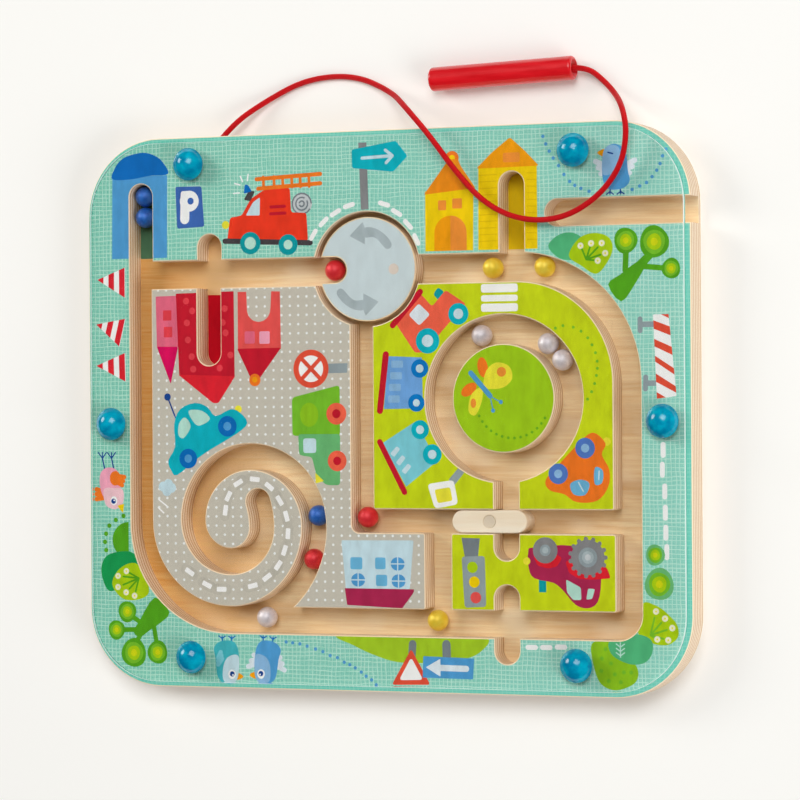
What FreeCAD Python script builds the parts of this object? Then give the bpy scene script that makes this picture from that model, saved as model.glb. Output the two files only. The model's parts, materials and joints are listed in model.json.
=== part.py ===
"""Magnetic wand ball maze: a flat wooden tray of channels under a clear cover.

The frame of reference has its origin at the centre of the tray's flat back, X to the right,
Y towards the edge that the cord leaves, and Z up through the clear cover. Millimetres.
"""
import FreeCAD, Part
import math
import os
import re

doc = FreeCAD.newDocument("magnetic_ball_maze")
dims = doc.addObject("Spreadsheet::Sheet", "dims")

DIMENSIONS = {
    # tray and its layers
    "board_length": 310, "board_width": 267, "board_round": 38, "edge_chamfer": 0.4,
    "base_thick": 3, "maze_thick": 12, "print_thick": 0.1, "print_inset": 0.5,
    "cover_gap": 0.1, "cover_thick": 3, "cover_inset": 2.7, "corner_break": 1.2,
    # walls of the long channels, as distances from the middle of the board
    "west_out": -132.0, "west_in": -120.3, "mid_left": -14.7, "mid_right": -3.3,
    "east_in": 117.4, "east_out": 130.7, "north_in": 60.0, "north_out": 73.5,
    "middle_low": -58.0, "middle_high": -46.7, "south_out": -106.9, "south_in": -94.0,
    "yard_left": 23.0, "yard_right": 36.3,
    "southwest_round": 53, "southeast_round": 12, "northeast_round": 61, "bend_round": 4,
    # roundabout
    "ring_x": 63, "ring_y": 5.4, "ring_inner": 25.5, "ring_outer": 39.4,
    # blind slots: half width, centre line and the centre of the round end
    "slot_half": 6.2, "parking_x": -125.8, "parking_end": 105.2, "stub_x": -88.8,
    "stub_end": 79.8, "barn_x": 67.7, "barn_end": 105.2, "gate_x": 64.2, "drain_end": -112.8,
    "castle_x": -89.3, "castle_end": 28.7, "farm_top_end": -64.3, "farm_low_end": -88.2,
    "farm_overhang": 0.8,
    "pen_slot_y": 91.6, "pen_slot_end": 90.6,
    # spiral channel: a chain of tangent arcs, each with its centre-line radius
    "spiral_x": -79.5, "spiral_r0": 45.2, "spiral_r1": 33.5, "spiral_r2": 30.5,
    "spiral_r3": 20, "spiral_r4": 16.5, "spiral_r5": 40, "spiral_half": 6.3,
    "spiral_last_turn": 18,
    # turntable
    "well_x": -6.3, "well_y": 67.4, "well_round": 27.4, "disc_round": 24.8,
    "disc_low": 4.0, "disc_thick": 9.4, "notch_x": -23.4, "notch_half": 6.2,
    "pin_round": 2.0, "pin_top": 11.0, "pin_root": 1.0, "pin_shoulder": 5.0,
    "pin_shoulder_top": 3.9, "bore_gap": 0.05, "disc_slug_x": 7.6, "slug_round": 2.6,
    "slug_low": 5.0, "bore_top_gap": 0.3,
    # sliding gate
    "gate_bar_x": 55.2, "gate_bar_length": 37.5, "gate_bar_half": 5.35, "gate_bar_low": 3.1,
    "gate_bar_top": 14.0, "gate_slug_round": 2.9,
    # balls
    "ball_round": 5.0, "ball_z": 8.2, "parked_x": -126.5, "bend_offset": 1.2,
    # cover screws and their domed caps
    "screw_x": 99, "screw_side_x": 141.7, "screw_top_y": 120.2, "screw_low_y": -118.8,
    "screw_side_y": -5.6, "screw_shank": 1.7, "screw_tip": 4.5, "screw_head": 3.8,
    "screw_head_thick": 2.2, "screw_gap": 0.05, "pilot_gap": 0.2, "cover_hole": 2.0,
    "cap_round": 7.9, "cap_rise": 5.8, "cap_sphere": 8.5, "cap_hollow": 4.6,
    "cap_hollow_rise": 3.2,
    # magnetic pen
    "pen_length": 72, "pen_round": 5.7, "pen_x": 95.6, "pen_y": 159.6, "pen_turn": 2,
    "pen_edge": 1.4, "magnet_round": 4.0, "magnet_length": 12, "magnet_gap": 0.05,
    "plug_length": 3, "dimple_wide": 4.3, "dimple_deep": 4.2, "cord_socket": 1.7,
    "cord_socket_deep": 14,
    # cord and its knot in the tray
    "cord_round": 1.35, "cord_hole": 1.45, "cord_exit_x": -85.2, "cord_exit_z": 9,
    "cord_exit_turn": 38, "cord_inside": 12, "knot_round": 2.9, "knot_thick": 4.6,
    "knot_pocket": 3.9, "knot_gap": 0.3,
}
for row, (alias, number) in enumerate(DIMENSIONS.items(), start=1):
    dims.set(f"A{row}", alias)
    dims.set(f"B{row}", str(number))
    dims.setAlias(f"B{row}", alias)
doc.recompute()

TOP = "base_thick + maze_thick"
COVER_LOW = TOP + " + print_thick + cover_gap"
COVER_TOP = COVER_LOW + " + cover_thick"
CUT_LOW = "base_thick - 1"
CUT_HIGH = "base_thick + maze_thick + 1"


def size(alias):
    """The number in one cell of the sheet."""
    return float(dims.get(alias))


def bind(obj, formulas):
    """Ties each property to a formula whose words are the sheet's aliases."""
    for prop, formula in formulas.items():
        tied = re.sub(r"[a-z]\w*", lambda word: "dims." + word.group()
                      if word.group() in DIMENSIONS else word.group(), str(formula))
        obj.setExpression(prop, tied)
    return obj


def place(obj, x="0", y="0", z="0"):
    return bind(obj, {"Placement.Base.x": x, "Placement.Base.y": y, "Placement.Base.z": z})


def block(name, x0, x1, y0, y1, z0, z1):
    """A box between six walls."""
    box = doc.addObject("Part::Box", name)
    bind(box, {"Length": f"({x1}) - ({x0})", "Width": f"({y1}) - ({y0})",
               "Height": f"({z1}) - ({z0})"})
    return place(box, x0, y0, z0)


def drum(name, x, y, z0, z1, radius, sweep="360", start=0):
    """An upright cylinder, or a sector of one that starts at an angle in degrees."""
    cylinder = doc.addObject("Part::Cylinder", name)
    cylinder.Placement.Rotation = FreeCAD.Rotation(FreeCAD.Vector(0, 0, 1), start)
    bind(cylinder, {"Radius": radius, "Height": f"({z1}) - ({z0})", "Angle": sweep})
    return place(cylinder, x, y, z0)


def ball(name, x, y, z, radius):
    sphere = doc.addObject("Part::Sphere", name)
    return place(bind(sphere, {"Radius": radius}), x, y, z)


def fuse(name, shapes):
    union = doc.addObject("Part::MultiFuse", name)
    union.Shapes = shapes
    union.Refine = True
    return union


def cut(name, solid, tools):
    """A solid less one tool, or less several tools joined first."""
    remainder = doc.addObject("Part::Cut", name)
    remainder.Base = solid
    remainder.Tool = tools[0] if len(tools) == 1 else fuse(name + "_tools", tools)
    remainder.Refine = True
    return remainder


def upright_edges(box, corners):
    """The box's vertical edges with a radius for each named corner, such as ne."""
    centre = box.Shape.BoundBox.Center
    found = []
    for number, edge in enumerate(box.Shape.Edges, start=1):
        low, high = edge.BoundBox.ZMin, edge.BoundBox.ZMax
        middle = edge.BoundBox.Center
        corner = ("n" if middle.y > centre.y else "s") + ("e" if middle.x > centre.x else "w")
        if high - low > 1 and corner in corners:
            found.append((number, corners[corner], corners[corner]))
    return found


def rounded(name, box, corners):
    """A box with its named upright corners rounded."""
    doc.recompute()
    fillet = doc.addObject("Part::Fillet", name)
    fillet.Base = box
    fillet.Edges = upright_edges(box, corners)
    return fillet


def top_chamfer(name, solid, level):
    """Breaks every sharp edge around the solid's flat top."""
    doc.recompute()
    broken = doc.addObject("Part::Chamfer", name)
    broken.Base = solid
    width = size("edge_chamfer")
    broken.Edges = [(number, width, width)
                    for number, edge in enumerate(solid.Shape.Edges, start=1)
                    if edge.BoundBox.ZMin > level - 0.01 and edge.BoundBox.ZMax < level + 0.01]
    return broken


def blind_slot(name, x, y_mouth, y_end, half="slot_half"):
    """A cutter for a slot along Y with a round far end."""
    low, high = (y_mouth, y_end) if size_of(y_end) > size_of(y_mouth) else (y_end, y_mouth)
    lane = block(name + "_lane", f"{x} - {half}", f"{x} + {half}", low, high, CUT_LOW, CUT_HIGH)
    return fuse(name, [lane, drum(name + "_end", x, y_end, CUT_LOW, CUT_HIGH, half)])


def size_of(formula):
    """A single alias or a plain sum of aliases and numbers, worked out."""
    total, sign = 0.0, 1
    for word in str(formula).split():
        if word in "+-":
            sign = 1 if word == "+" else -1
        else:
            total += sign * (size(word) if word in DIMENSIONS else float(word))
    return total


NODES = []


def node(obj, label):
    """Names a finished piece."""
    obj.Label = label
    NODES.append(obj)
    return obj


def sheet_over(label, solid, level):
    """The printed sheet on a flat top: the top's outline drawn in a little, and thin."""
    doc.recompute()
    top = [face for face in solid.Shape.Faces
           if face.BoundBox.ZMin > level - 0.01 and face.normalAt(0, 0).z > 0.9][0]
    screw_hole = 4 * math.pi * size("cover_hole")
    outline = Part.Face([wire for wire in top.Wires if wire.Length > screw_hole])
    inset = size("print_inset") - size("edge_chamfer")
    printed = doc.addObject("Part::Feature", label + "_blank")
    printed.Shape = outline.makeOffset2D(-inset).extrude(
        FreeCAD.Vector(0, 0, size("print_thick")))
    return printed


# ---- base plate -------------------------------------------------------------------------
HALF_X, HALF_Y = "board_length / 2", "board_width / 2"
ALL_CORNERS = ("ne", "nw", "se", "sw")
board_corners = {corner: size("board_round") for corner in ALL_CORNERS}

base_blank = rounded("base_blank", block("base_box", f"-{HALF_X}", HALF_X, f"-{HALF_Y}", HALF_Y,
                                         "0", "base_thick"), board_corners)
pin_seat = drum("pin_seat", "well_x", "well_y", "pin_root", "base_thick + 1",
                "pin_round + bore_gap")
node(cut("base_cut", base_blank, [pin_seat]), "base_plate")

# ---- maze frame: the printed border around the channels ----------------------------------
frame_blank = rounded("frame_blank", block("frame_box", f"-{HALF_X}", HALF_X, f"-{HALF_Y}",
                                           HALF_Y, "base_thick", TOP), board_corners)
playfield = rounded(
    "playfield", block("playfield_box", "west_out", "east_out", "south_out", "north_out",
                       CUT_LOW, CUT_HIGH),
    {"sw": size("southwest_round"), "se": size("southeast_round"),
     "ne": size("northeast_round")})
well = drum("well", "well_x", "well_y", CUT_LOW, CUT_HIGH, "well_round")
pen_slot = fuse("pen_slot", [
    block("pen_lane", "pen_slot_end", f"{HALF_X} + 1", "pen_slot_y - slot_half",
          "pen_slot_y + slot_half", CUT_LOW, CUT_HIGH),
    drum("pen_lane_end", "pen_slot_end", "pen_slot_y", CUT_LOW, CUT_HIGH, "slot_half")])

SCREWS = [("back_left", "-screw_x", "screw_top_y"), ("back_right", "screw_x", "screw_top_y"),
          ("left", "-screw_side_x", "screw_side_y"), ("right", "screw_side_x", "screw_side_y"),
          ("front_left", "-screw_x", "screw_low_y"), ("front_right", "screw_x", "screw_low_y")]
pilots = [drum("pilot_" + where, x, y, "screw_tip - pilot_gap", CUT_HIGH, "screw_shank + screw_gap")
          for where, x, y in SCREWS]

# The cord's hole slants through the far edge, and its knot sits in a pocket of the underside.
slant = math.radians(size("cord_exit_turn"))
outward = FreeCAD.Vector(math.sin(slant), math.cos(slant), 0)
cord_exit = FreeCAD.Vector(size("cord_exit_x"), size("board_width") / 2, size("cord_exit_z"))
knot_at = cord_exit - outward * (size("cord_inside") + size("knot_thick") / 2)


def along_exit(name, radius, start, length):
    """A cylinder on the slanting hole's line, from a distance out of the edge."""
    rod = doc.addObject("Part::Cylinder", name)
    bind(rod, {"Radius": radius, "Height": length})
    rod.Placement = FreeCAD.Placement(cord_exit + outward * start,
                                      FreeCAD.Rotation(FreeCAD.Vector(0, 0, 1), outward))
    return rod


cord_bore = along_exit("cord_bore", "cord_hole", -size("cord_inside") - 1, "cord_inside + 6")
knot_pocket = drum("knot_pocket", str(knot_at.x), str(knot_at.y), CUT_LOW,
                   "cord_exit_z + knot_round + knot_gap", "knot_pocket")
frame_cut = cut("frame_cut", frame_blank, [
    playfield, well, pen_slot,
    blind_slot("parking_slot", "parking_x", "north_out - 2", "parking_end"),
    blind_slot("stub_slot", "stub_x", "north_out - 2", "stub_end"),
    blind_slot("barn_slot", "barn_x", "north_out - 2", "barn_end"),
    blind_slot("drain_slot", "gate_x", "south_out + 2", "drain_end"),
    cord_bore, knot_pocket] + pilots)
maze_frame = node(top_chamfer("frame_broken", frame_cut, size_of(TOP)), "maze_frame")

# ---- islands between the channels --------------------------------------------------------
small = size("corner_break")


def island(name, x0, x1, y0, y1, corners):
    return rounded(name, block(name + "_box", x0, x1, y0, y1, "base_thick", TOP), corners)


def ring_sector(name, x, y, radius, half, start, sweep):
    """A cutter for a stretch of channel that follows an arc."""
    outer = drum(name + "_outer", x, y, CUT_LOW, CUT_HIGH, f"{radius} + {half}", sweep, start)
    inner = drum(name + "_inner", x, y, CUT_LOW, CUT_HIGH, f"{radius} - {half}")
    return cut(name, outer, [inner])


def spiral_cutters():
    """Tangent arcs, each starting where the last one ends, and a round blind end."""
    x = "spiral_x"
    y = "south_out / 2 + south_in / 2 + spiral_r0"
    cutters = [ring_sector("spiral_0", x, y, "spiral_r0", "spiral_half", -90, "90")]
    steps = ((1, 0), (0, 1), (-1, 0), (0, -1), (1, 0))
    for turn, (step_x, step_y) in enumerate(steps, start=1):
        shrink = f"(spiral_r{turn - 1} - spiral_r{turn})"
        x, y = f"{x} + {step_x} * {shrink}", f"{y} + {step_y} * {shrink}"
        sweep = "spiral_last_turn" if turn == len(steps) else "90"
        start = 90 * (turn - 1) % 360
        cutters.append(ring_sector(f"spiral_{turn}", x, y, f"spiral_r{turn}", "spiral_half",
                                   start, sweep))
    last = len(steps)
    end_x = f"{x} + spiral_r{last} * cos(spiral_last_turn * 1 deg)"
    end_y = f"{y} + spiral_r{last} * sin(spiral_last_turn * 1 deg)"
    cutters.append(drum("spiral_end", end_x, end_y, CUT_LOW, CUT_HIGH, "spiral_half"))
    return cutters


town_web = cut("town_web", block("town_web_box", "mid_left - 1", "mid_left + bend_round",
                                 "middle_low - 1", "middle_low + bend_round", "base_thick", TOP),
               [drum("town_bend", "mid_left + bend_round", "middle_low + bend_round", CUT_LOW,
                     CUT_HIGH, "bend_round")])
town_blank = fuse("town_blank", [
    island("town_main", "west_in", "mid_left", "south_in", "north_in",
           {"sw": size("southwest_round") - size("west_in") + size("west_out")}),
    island("town_yard", "mid_left - 20", "yard_left", "south_in", "middle_low",
           {"se": small, "ne": small}),
    town_web])
castle_slot = blind_slot("castle_slot", "castle_x", "north_in + 2", "castle_end")
town_cut = cut("town_cut", town_blank,
               [drum("town_well", "well_x", "well_y", CUT_LOW, CUT_HIGH, "well_round"),
                castle_slot] + spiral_cutters())
town_island = node(top_chamfer("town_broken", town_cut, size_of(TOP)), "town_island")

ring_hole = drum("ring_hole", "ring_x", "ring_y", CUT_LOW, CUT_HIGH, "ring_outer")
ring_exit = block("ring_exit", "gate_x - slot_half", "gate_x + slot_half", "middle_high - 2",
                  "ring_y", CUT_LOW, CUT_HIGH)
meadow_blank = island("meadow_blank", "mid_right", "east_in", "middle_high", "north_in",
                      {"ne": size("northeast_round") - size("east_out") + size("east_in"),
                       "sw": small, "se": small})
meadow_cut = cut("meadow_cut", meadow_blank,
                 [drum("meadow_well", "well_x", "well_y", CUT_LOW, CUT_HIGH, "well_round"),
                  ring_hole, ring_exit])
meadow_island = node(top_chamfer("meadow_broken", meadow_cut, size_of(TOP)), "meadow_island")

roundabout_blank = drum("roundabout_blank", "ring_x", "ring_y", "base_thick", TOP, "ring_inner")
roundabout_island = node(top_chamfer("roundabout_broken", roundabout_blank, size_of(TOP)),
                         "roundabout_island")

farm_blank = island("farm_blank", "yard_right", "east_in + farm_overhang", "south_in", "middle_low",
                    {corner: small for corner in ALL_CORNERS})
farm_cut = cut("farm_cut", farm_blank,
               [blind_slot("farm_top", "gate_x", "middle_low + 2", "farm_top_end"),
                blind_slot("farm_low", "gate_x", "south_in - 2", "farm_low_end")])
farm_island = node(top_chamfer("farm_broken", farm_cut, size_of(TOP)), "farm_island")

# ---- printed sheets ----------------------------------------------------------------------
for printed_label, wood in (("town_print", town_island), ("meadow_print", meadow_island),
                            ("roundabout_print", roundabout_island),
                            ("farm_print", farm_island)):
    node(sheet_over(printed_label, wood, size_of(TOP)), printed_label)
node(cut("frame_print_cut", sheet_over("frame_print", maze_frame, size_of(TOP)), [
    drum("print_hole_" + where, x, y, CUT_LOW, COVER_TOP, "cover_hole")
    for where, x, y in SCREWS]), "frame_print")

# ---- clear cover, screws and caps --------------------------------------------------------
cover_blank = rounded("cover_blank", block(
    "cover_box", f"cover_inset - {HALF_X}", f"{HALF_X} - cover_inset",
    f"cover_inset - {HALF_Y}", f"{HALF_Y} - cover_inset", COVER_LOW, COVER_TOP),
    {corner: size("board_round") - size("cover_inset") for corner in ALL_CORNERS})
cover_cut = cut("cover_cut", cover_blank, [
    drum("cover_hole_" + where, x, y, CUT_LOW, COVER_TOP + " + 1", "cover_hole")
    for where, x, y in SCREWS])
node(top_chamfer("cover_broken", cover_cut, size_of(COVER_TOP)), "clear_cover")

screw_solids = []
for where, x, y in SCREWS:
    head = drum("screw_head_" + where, x, y, COVER_TOP, COVER_TOP + " + screw_head_thick",
                "screw_head")
    shank = drum("screw_shank_" + where, x, y, "screw_tip", COVER_TOP, "screw_shank")
    screw_solids.append(fuse("screw_" + where, [head, shank]))
screw_group = doc.addObject("Part::Compound", "screw_group")
screw_group.Links = screw_solids
node(screw_group, "cover_screws")

for where, x, y in SCREWS:
    skirt = drum("cap_skirt_" + where, x, y, COVER_TOP, COVER_TOP + " + cap_rise", "cap_round")
    dome = ball("cap_dome_" + where, x, y, COVER_TOP + " + cap_rise - cap_sphere", "cap_sphere")
    cap = doc.addObject("Part::MultiCommon", "cap_outer_" + where)
    cap.Shapes = [skirt, dome]
    hollow = drum("cap_hollow_" + where, x, y, COVER_LOW, COVER_TOP + " + cap_hollow_rise",
                  "cap_hollow")
    node(cut("cap_cut_" + where, cap, [hollow]), "screw_cap_" + where)

# ---- turntable ---------------------------------------------------------------------------
DISC_TOP = "disc_low + disc_thick"
disc_blank = drum("disc_blank", "well_x", "well_y", "disc_low", DISC_TOP, "disc_round")
notch = fuse("notch", [
    block("notch_lane", "well_x - disc_round - 1", "notch_x", "well_y - notch_half",
          "well_y + notch_half", CUT_LOW, CUT_HIGH),
    drum("notch_end", "notch_x", "well_y", CUT_LOW, CUT_HIGH, "notch_half")])
node(cut("disc_cut", disc_blank, [
    notch,
    drum("disc_bore", "well_x", "well_y", CUT_LOW, "pin_top + bore_top_gap",
         "pin_round + bore_gap"),
    drum("disc_pocket", "disc_slug_x", "well_y", "slug_low", DISC_TOP + " + 1",
         "slug_round + bore_gap")]), "turntable_disc")
node(drum("disc_slug", "disc_slug_x", "well_y", "slug_low", DISC_TOP, "slug_round"),
     "turntable_slug")
sheet_blank = drum("disc_print_blank", "well_x", "well_y", DISC_TOP, DISC_TOP + " + print_thick",
                   "disc_round - print_inset")
node(cut("disc_print_cut", sheet_blank, [fuse("notch_print", [
    block("notch_print_lane", "well_x - disc_round - 1", "notch_x",
          "well_y - notch_half - print_inset", "well_y + notch_half + print_inset", CUT_LOW,
          CUT_HIGH),
    drum("notch_print_end", "notch_x", "well_y", CUT_LOW, CUT_HIGH,
         "notch_half + print_inset")])]), "turntable_print")
node(fuse("pin", [
    drum("pin_shaft", "well_x", "well_y", "pin_root", "pin_top", "pin_round"),
    drum("pin_collar", "well_x", "well_y", "base_thick", "pin_shoulder_top", "pin_shoulder")]),
    "turntable_pin")

# ---- sliding gate ------------------------------------------------------------------------
GATE_Y = "middle_low / 2 + middle_high / 2"
half_run = "(gate_bar_length / 2 - gate_bar_half)"
gate_blank = fuse("gate_blank", [
    block("gate_middle", f"gate_bar_x - {half_run}", f"gate_bar_x + {half_run}",
          f"{GATE_Y} - gate_bar_half", f"{GATE_Y} + gate_bar_half", "gate_bar_low",
          "gate_bar_top"),
    drum("gate_left", f"gate_bar_x - {half_run}", GATE_Y, "gate_bar_low", "gate_bar_top",
         "gate_bar_half"),
    drum("gate_right", f"gate_bar_x + {half_run}", GATE_Y, "gate_bar_low", "gate_bar_top",
         "gate_bar_half")])
gate_cut = cut("gate_cut", gate_blank, [
    drum("gate_pocket", "gate_bar_x", GATE_Y, "slug_low", "gate_bar_top + 1",
         "gate_slug_round + bore_gap")])
node(top_chamfer("gate_broken", gate_cut, size("gate_bar_top")), "slider_bar")
node(drum("gate_slug", "gate_bar_x", GATE_Y, "slug_low", "gate_bar_top", "gate_slug_round"),
     "slider_slug")


# ---- balls -------------------------------------------------------------------------------
def on_circle(x, y, radius, degrees):
    """Formulas for a point at an angle on a circle about a centre."""
    return (f"{x} + {radius} * cos({degrees} deg)", f"{y} + {radius} * sin({degrees} deg)")


NORTH_Y = "north_in / 2 + north_out / 2"
SOUTH_Y = "south_in / 2 + south_out / 2"
RING_MID = "(ring_inner / 2 + ring_outer / 2)"
BEND_X, BEND_Y = "east_out - northeast_round", "north_out - northeast_round"
BEND_MID = "(northeast_round - east_out / 2 + east_in / 2 + bend_offset)"
# Where each ball rests in its channel: an offset from a wall or a centre, or an angle on an arc.
BALLS = {
    "ball_blue_parked_inner": ("parked_x", "parking_end + 0.5"),
    "ball_blue_parked_outer": ("parked_x", "parking_end - 9.8"),
    "ball_blue_spiral": on_circle("spiral_x + spiral_r0 - spiral_r1", SOUTH_Y + " + spiral_r0",
                                  "spiral_r1", 8.9),
    "ball_red_spiral": on_circle("spiral_x", SOUTH_Y + " + spiral_r0", "spiral_r0", -20.4),
    "ball_red_corner": ("mid_left / 2 + mid_right / 2", "middle_high - 4"),
    "ball_red_turntable": ("notch_x - 1.8", "well_y"),
    "ball_yellow_north": (f"{BEND_X} - 13.9", NORTH_Y),
    "ball_yellow_bend": on_circle(BEND_X, BEND_Y, BEND_MID, 77.5),
    "ball_yellow_south": ("yard_left + 3.7", SOUTH_Y + " + 1.1"),
    "ball_silver_south": ("spiral_x + 17.3", SOUTH_Y + " + 1.1"),
    "ball_silver_ring_left": on_circle("ring_x", "ring_y", RING_MID, 113.8),
    "ball_silver_ring_top": on_circle("ring_x", "ring_y", RING_MID, 51.6),
    "ball_silver_ring_right": on_circle("ring_x", "ring_y", RING_MID, 33.0),
}
for label, (x, y) in BALLS.items():
    node(ball(label + "_sphere", x, y, "ball_z", "ball_round"), label)


# ---- pen ---------------------------------------------------------------------------------
pen_turn = FreeCAD.Rotation(FreeCAD.Vector(0, 0, 1), size("pen_turn"))
pen_along = pen_turn.multVec(FreeCAD.Vector(-1, 0, 0))
pen_end = FreeCAD.Vector(size("pen_x"), size("pen_y"), size("pen_round"))


def along_pen(kind, name, start, formulas):
    """A round primitive on the pen's axis, from a distance in from the cord's end."""
    piece = doc.addObject(kind, name)
    bind(piece, formulas)
    piece.Placement = FreeCAD.Placement(pen_end + pen_along * start,
                                        FreeCAD.Rotation(FreeCAD.Vector(0, 0, 1), pen_along))
    return piece


def pen_cylinder(name, start, length, radius):
    return along_pen("Part::Cylinder", name, start, {"Radius": radius, "Height": length})


pen_blank = pen_cylinder("pen_blank", 0, "pen_length", "pen_round")
doc.recompute()
pen_eased = doc.addObject("Part::Fillet", "pen_eased")
pen_eased.Base = pen_blank
pen_eased.Edges = [(number, size("pen_edge"), size("pen_edge"))
                   for number, edge in enumerate(pen_blank.Shape.Edges, start=1)
                   if isinstance(edge.Curve, Part.Circle)]
magnet_start = size("pen_length") - size("plug_length") - size("magnet_length")
node(cut("pen_cut", pen_eased, [
    along_pen("Part::Cone", "pen_dimple", 0, {"Radius1": "dimple_wide", "Radius2": "cord_socket",
                                              "Height": "dimple_deep"}),
    pen_cylinder("pen_socket", 0, "cord_socket_deep", "cord_socket"),
    pen_cylinder("magnet_bore", magnet_start, "magnet_length + plug_length + 1",
                 "magnet_round + magnet_gap")]), "pen_body")
node(pen_cylinder("magnet", magnet_start, "magnet_length", "magnet_round"), "pen_magnet")
node(pen_cylinder("tip_plug", size("pen_length") - size("plug_length"), "plug_length",
                  "magnet_round"), "pen_tip_plug")

# ---- cord --------------------------------------------------------------------------------
# The first point is at the knot, and the last one is in the pen's dimple.
CORD_ROUTE = [
    (-92.588, 124.044, 9.0), (-81.506, 138.228, 9.0), (-64, 151, 2.2), (-43, 160.6, 1.4),
    (-18, 161.5, 1.4), (2, 152.5, 3.4), (17, 143, 22.5), (30.5, 128.2, 24),
    (41, 112.5, 20.4), (55.5, 96.5, 19.7), (74, 88, 19.7), (94.5, 88.3, 19.7),
    (112, 98, 19.7), (123.5, 112, 20.6), (127.5, 127, 24), (125, 138.5, 22.5),
    (116, 146.5, 6.0), (109, 153.5, 3.0), (101.5, 159.8, 5.7), (92.4, 159.49, 5.7),
]
ARC_SHARE = 0.45  # how much of the shorter run beside a corner its arc takes up


def tangent_arcs(points):
    """Straight runs joined by tangent arcs, and the arcs' radii."""
    points = [FreeCAD.Vector(*point) for point in points]
    edges, radii, start = [], [], points[0]
    for before, corner, after in zip(points, points[1:], points[2:]):
        inward, onward = corner - before, after - corner
        turn = inward.getAngle(onward)
        setback = ARC_SHARE * min(inward.Length, onward.Length)
        arc_start = corner - inward.normalize() * setback
        arc_end = corner + onward.normalize() * setback
        radius = setback / math.tan(turn / 2)
        bulge = setback * math.tan(turn / 4)
        middle = (arc_start + arc_end) / 2
        towards = (corner - middle).normalize()
        edges.append(Part.LineSegment(start, arc_start).toShape())
        edges.append(Part.Arc(arc_start, middle + towards * bulge, arc_end).toShape())
        radii.append(radius)
        start = arc_end
    edges.append(Part.LineSegment(start, points[-1]).toShape())
    return Part.Wire(edges), radii


cord_path, cord_radii = tangent_arcs(CORD_ROUTE)
cord_start = FreeCAD.Vector(*CORD_ROUTE[0])
cord_heading = (FreeCAD.Vector(*CORD_ROUTE[1]) - cord_start).normalize()
cord_section = Part.Wire(Part.makeCircle(size("cord_round"), cord_start, cord_heading))
cord = doc.addObject("Part::Feature", "cord_tube")
cord.Shape = cord_path.makePipeShell([cord_section], True, True)
node(cord, "cord")
node(along_exit("cord_knot_barrel", "knot_round",
                -size("cord_inside") - size("knot_thick"), "knot_thick"), "cord_knot")

# ---- checks and output -------------------------------------------------------------------
doc.recompute()
for obj in doc.Objects:
    if "Invalid" in obj.State or "Error" in obj.State:
        raise RuntimeError(f"{obj.Name} ({obj.Label}) failed: {obj.State}")
os.makedirs("parts", exist_ok=True)
for piece in NODES:
    if piece.Shape.isNull() or not piece.Shape.isValid():
        raise RuntimeError(f"{piece.Label} has no valid shape")
    piece.Shape.exportStep(os.path.join("parts", piece.Label + ".step"))
    print(f"{piece.Label}: {len(piece.Shape.Solids)} solid(s), {piece.Shape.Volume:.0f} mm3")

print("cord radii, mm:", " ".join(f"{radius:.1f}" for radius in cord_radii))
swept = cord_path.Length * math.pi * size("cord_round") ** 2
print(f"cord length {cord_path.Length:.1f} mm, volume {cord.Shape.Volume:.0f}, swept {swept:.0f}")
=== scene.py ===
import json
import math
import bpy
import bmesh
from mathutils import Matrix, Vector
from mathutils.geometry import delaunay_2d_cdt


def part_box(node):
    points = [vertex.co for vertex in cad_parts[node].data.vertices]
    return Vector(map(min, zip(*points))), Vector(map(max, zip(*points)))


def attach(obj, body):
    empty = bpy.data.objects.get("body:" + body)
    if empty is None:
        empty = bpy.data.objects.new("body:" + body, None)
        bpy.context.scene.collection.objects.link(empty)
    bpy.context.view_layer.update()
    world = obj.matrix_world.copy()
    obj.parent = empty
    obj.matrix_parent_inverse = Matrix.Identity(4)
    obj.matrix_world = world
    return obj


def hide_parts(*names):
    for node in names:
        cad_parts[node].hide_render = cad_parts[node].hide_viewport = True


# Looks, cord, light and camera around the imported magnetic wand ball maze. Outlines of the
# printed pictures are in millimetres on the board, whose middle is the origin.

MM = 0.001
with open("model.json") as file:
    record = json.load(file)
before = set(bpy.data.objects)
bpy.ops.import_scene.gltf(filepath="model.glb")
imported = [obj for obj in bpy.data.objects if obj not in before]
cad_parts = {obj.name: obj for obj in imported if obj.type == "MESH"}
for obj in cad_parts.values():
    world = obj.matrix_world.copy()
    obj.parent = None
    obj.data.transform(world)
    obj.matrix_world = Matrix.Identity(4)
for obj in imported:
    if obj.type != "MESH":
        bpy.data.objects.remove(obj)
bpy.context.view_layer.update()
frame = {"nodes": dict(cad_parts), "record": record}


def new_object(name, data):
    """An object in the scene's own collection."""
    made = bpy.data.objects.new(name, data)
    bpy.context.scene.collection.objects.link(made)
    return made


def from_bmesh(name, mesh, *materials):
    """An object made of a finished bmesh, which is freed."""
    data = bpy.data.meshes.new(name)
    mesh.to_mesh(data)
    mesh.free()
    for material in materials:
        data.materials.append(material)
    return new_object(name, data)


# ---- camera and cord ----
CAMERA_PLACE, CAMERA_TURN = (0.64386, -0.00232, 1.53917), (0.101, 22.574, -0.400)
SENSOR, LENS = 36, 156.8


def add_camera():
    """Above the board's right half, looking down and to the left."""
    camera = new_object("camera", bpy.data.cameras.new("camera"))
    camera.data.sensor_width = SENSOR
    camera.data.lens = LENS
    camera.location = CAMERA_PLACE
    camera.rotation_euler = [math.radians(turn) for turn in CAMERA_TURN]
    bpy.context.scene.camera = camera


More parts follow.
